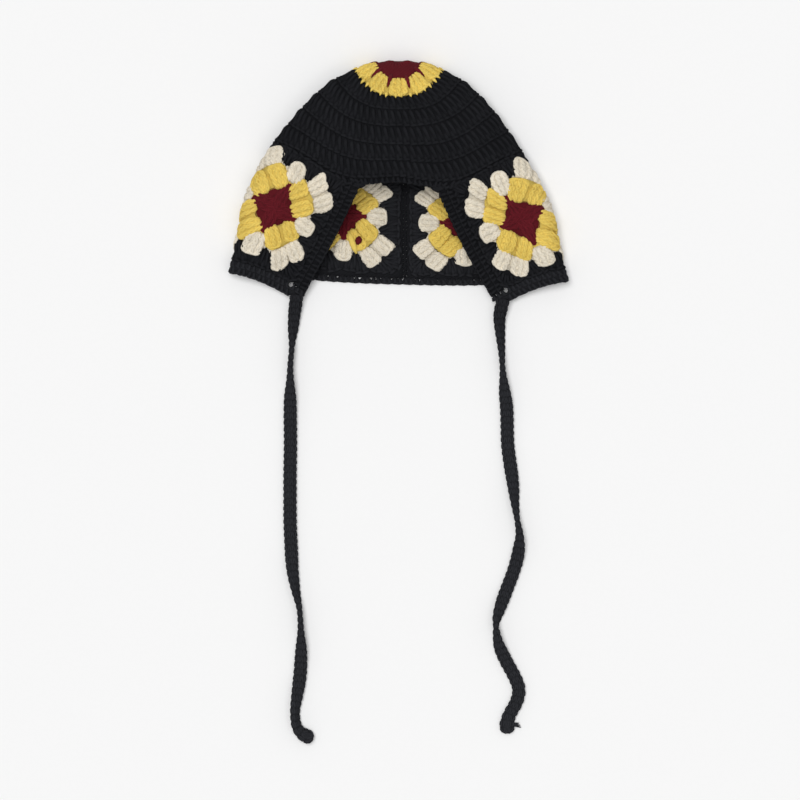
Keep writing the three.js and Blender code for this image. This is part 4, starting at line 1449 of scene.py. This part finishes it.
class BONNET_OT_ties(bpy.types.Operator):
    """Crochets the two flat ties, which turn over as they lie"""

    bl_idname = "bonnet.ties"
    bl_label = "Ties"

    def execute(self, context):
        for name, rows, seed in (("tie_left", TIE_LEFT, 71), ("tie_right", TIE_RIGHT, 72)):
            # The ties are lightened with painted light.
            skein = Skein(seed, painted_light=TIE_PAINTED_LIGHT)
            middle, across, through = tie_path(rows)
            tie_strip(skein, middle, across, through)
            tie_stitches(skein, middle, across, through)
            ends = [self.tail(middle[-8])] if name == "tie_right" else []
            piece = skein.piece(f"{name}_yarn", name, yarn("black"), "black_yarn")
        return {"FINISHED"}

    @staticmethod
    def tail(start):
        """The short end of yarn beside the right tie's end."""
        # The tail is lightened with the ties' painted light.
        skein = Skein(73, painted_light=TIE_PAINTED_LIGHT)
        t = np.linspace(0.0, 1.0, 5)
        ways = np.array([(11.0, -1.2, -1.0), (11.6, -3.0, -1.2), (10.0, 0.6, -0.9)])
        centres = start + ways[:, None] * t[None, :, None]
        centres[..., 2] = np.maximum(centres[..., 2], 1.0)
        normals = np.broadcast_to(np.array([0.0, 0.0, 1.0]), centres.shape)
        skein.tubes(centres, normals, 0.8, 0.8, 6)
        return skein.piece("tie_right_tail", "tie_right", yarn("black"), "black_yarn")


class BONNET_OT_stage(bpy.types.Operator):
    """Lays out the floor, the soft light and the camera above"""

    bl_idname = "bonnet.stage"
    bl_label = "Stage"

    def execute(self, context):
        scene = context.scene
        settings = scene.bonnet
        bpy.ops.object.select_all(action="DESELECT")
        bpy.ops.mesh.primitive_plane_add(size=12.0, location=(0.0, 0.0, -0.0002))
        floor = context.object
        floor.name = "floor"
        floor.data.materials.append(self.floor_material(tuple(settings.floor)))
        bpy.ops.object.transform_apply(location=True)

        above = (VIEW_MIDDLE[0] * MM, VIEW_MIDDLE[1] * MM, settings.camera_height)
        bpy.ops.object.camera_add(location=above, rotation=(0.0, 0.0, 0.0))
        camera = context.object
        camera.data.sensor_width = 36.0
        camera.data.lens = 36.0 * settings.camera_height / settings.view_width
        camera.data.clip_end = 50.0
        scene.camera = camera

        for turn, strength, softness in SUNS:
            bpy.ops.object.light_add(type="SUN", location=(0.0, 0.0, 2.0), rotation=turn)
            light = context.object.data
            light.energy = strength
            light.angle = softness
        world = bpy.data.worlds.new("studio")
        world.use_nodes = True
        sky = world.node_tree.nodes["Background"]
        fill(sky, {"Color": (1.0, 1.0, 1.0, 1.0), "Strength": SKY_STRENGTH})
        scene.world = world
        scene.view_settings.view_transform = "Standard"
        return {"FINISHED"}

    @staticmethod
    def floor_material(colour):
        """A white paper with a very faint grain."""
        material = bpy.data.materials.new("floor_paper")
        material.use_nodes = True
        nodes, links = material.node_tree.nodes, material.node_tree.links
        shader = nodes["Principled BSDF"]
        coordinates = nodes.new("ShaderNodeTexCoord")
        grain = nodes.new("ShaderNodeTexNoise")
        fill(grain, {"Scale": 300.0})
        tone = nodes.new("ShaderNodeMapRange")
        fill(tone, {"To Min": 0.985, "To Max": 1.0})
        tint = nodes.new("ShaderNodeVectorMath")
        tint.operation = "SCALE"
        tint.inputs[0].default_value = colour
        links.new(coordinates.outputs["Object"], grain.inputs["Vector"])
        links.new(grain.outputs["Fac"], tone.inputs["Value"])
        links.new(tone.outputs["Result"], tint.inputs["Scale"])
        links.new(tint.outputs["Vector"], shader.inputs["Base Color"])
        fill(shader, {"Roughness": 0.9, "Specular IOR Level": 0.1})
        return material


class BONNET_PT_panel(bpy.types.Panel):
    """Lists the bonnet's parts in the sidebar"""

    bl_idname = "BONNET_PT_panel"
    bl_label = "Crochet bonnet"
    bl_space_type = "VIEW_3D"
    bl_region_type = "UI"
    bl_category = "Bonnet"

    def draw(self, context):
        settings = context.scene.bonnet
        for name in ("black", "burgundy", "yellow", "cream", "twist", "floor", "camera_height", "view_width"):
            self.layout.prop(settings, name)
        for operator in OPERATORS:
            self.layout.operator(operator.bl_idname)


OPERATORS = (
    BONNET_OT_stage,
    BONNET_OT_ties,
    BONNET_OT_crown,
    BONNET_OT_squares,
    BONNET_OT_seams,
    BONNET_OT_face_edging,
    BONNET_OT_neck_edging,
)


def register():
    """Registers the settings, the operators and the panel."""
    for made in (BonnetSettings, *OPERATORS, BONNET_PT_panel):
        bpy.utils.register_class(made)
    bpy.types.Scene.bonnet = bpy.props.PointerProperty(type=BonnetSettings)


def unregister():
    """Takes the settings, the operators and the panel away again."""
    del bpy.types.Scene.bonnet
    for made in reversed((BonnetSettings, *OPERATORS, BONNET_PT_panel)):
        bpy.utils.unregister_class(made)


def main():
    """Builds the bonnet on its stage."""
    register()
    bpy.ops.bonnet.stage()
    bpy.ops.bonnet.ties()
    bpy.ops.bonnet.crown()
    bpy.ops.bonnet.squares()
    bpy.ops.bonnet.seams()
    bpy.ops.bonnet.face_edging()
    bpy.ops.bonnet.neck_edging()


if __name__ == "__main__":
    main()
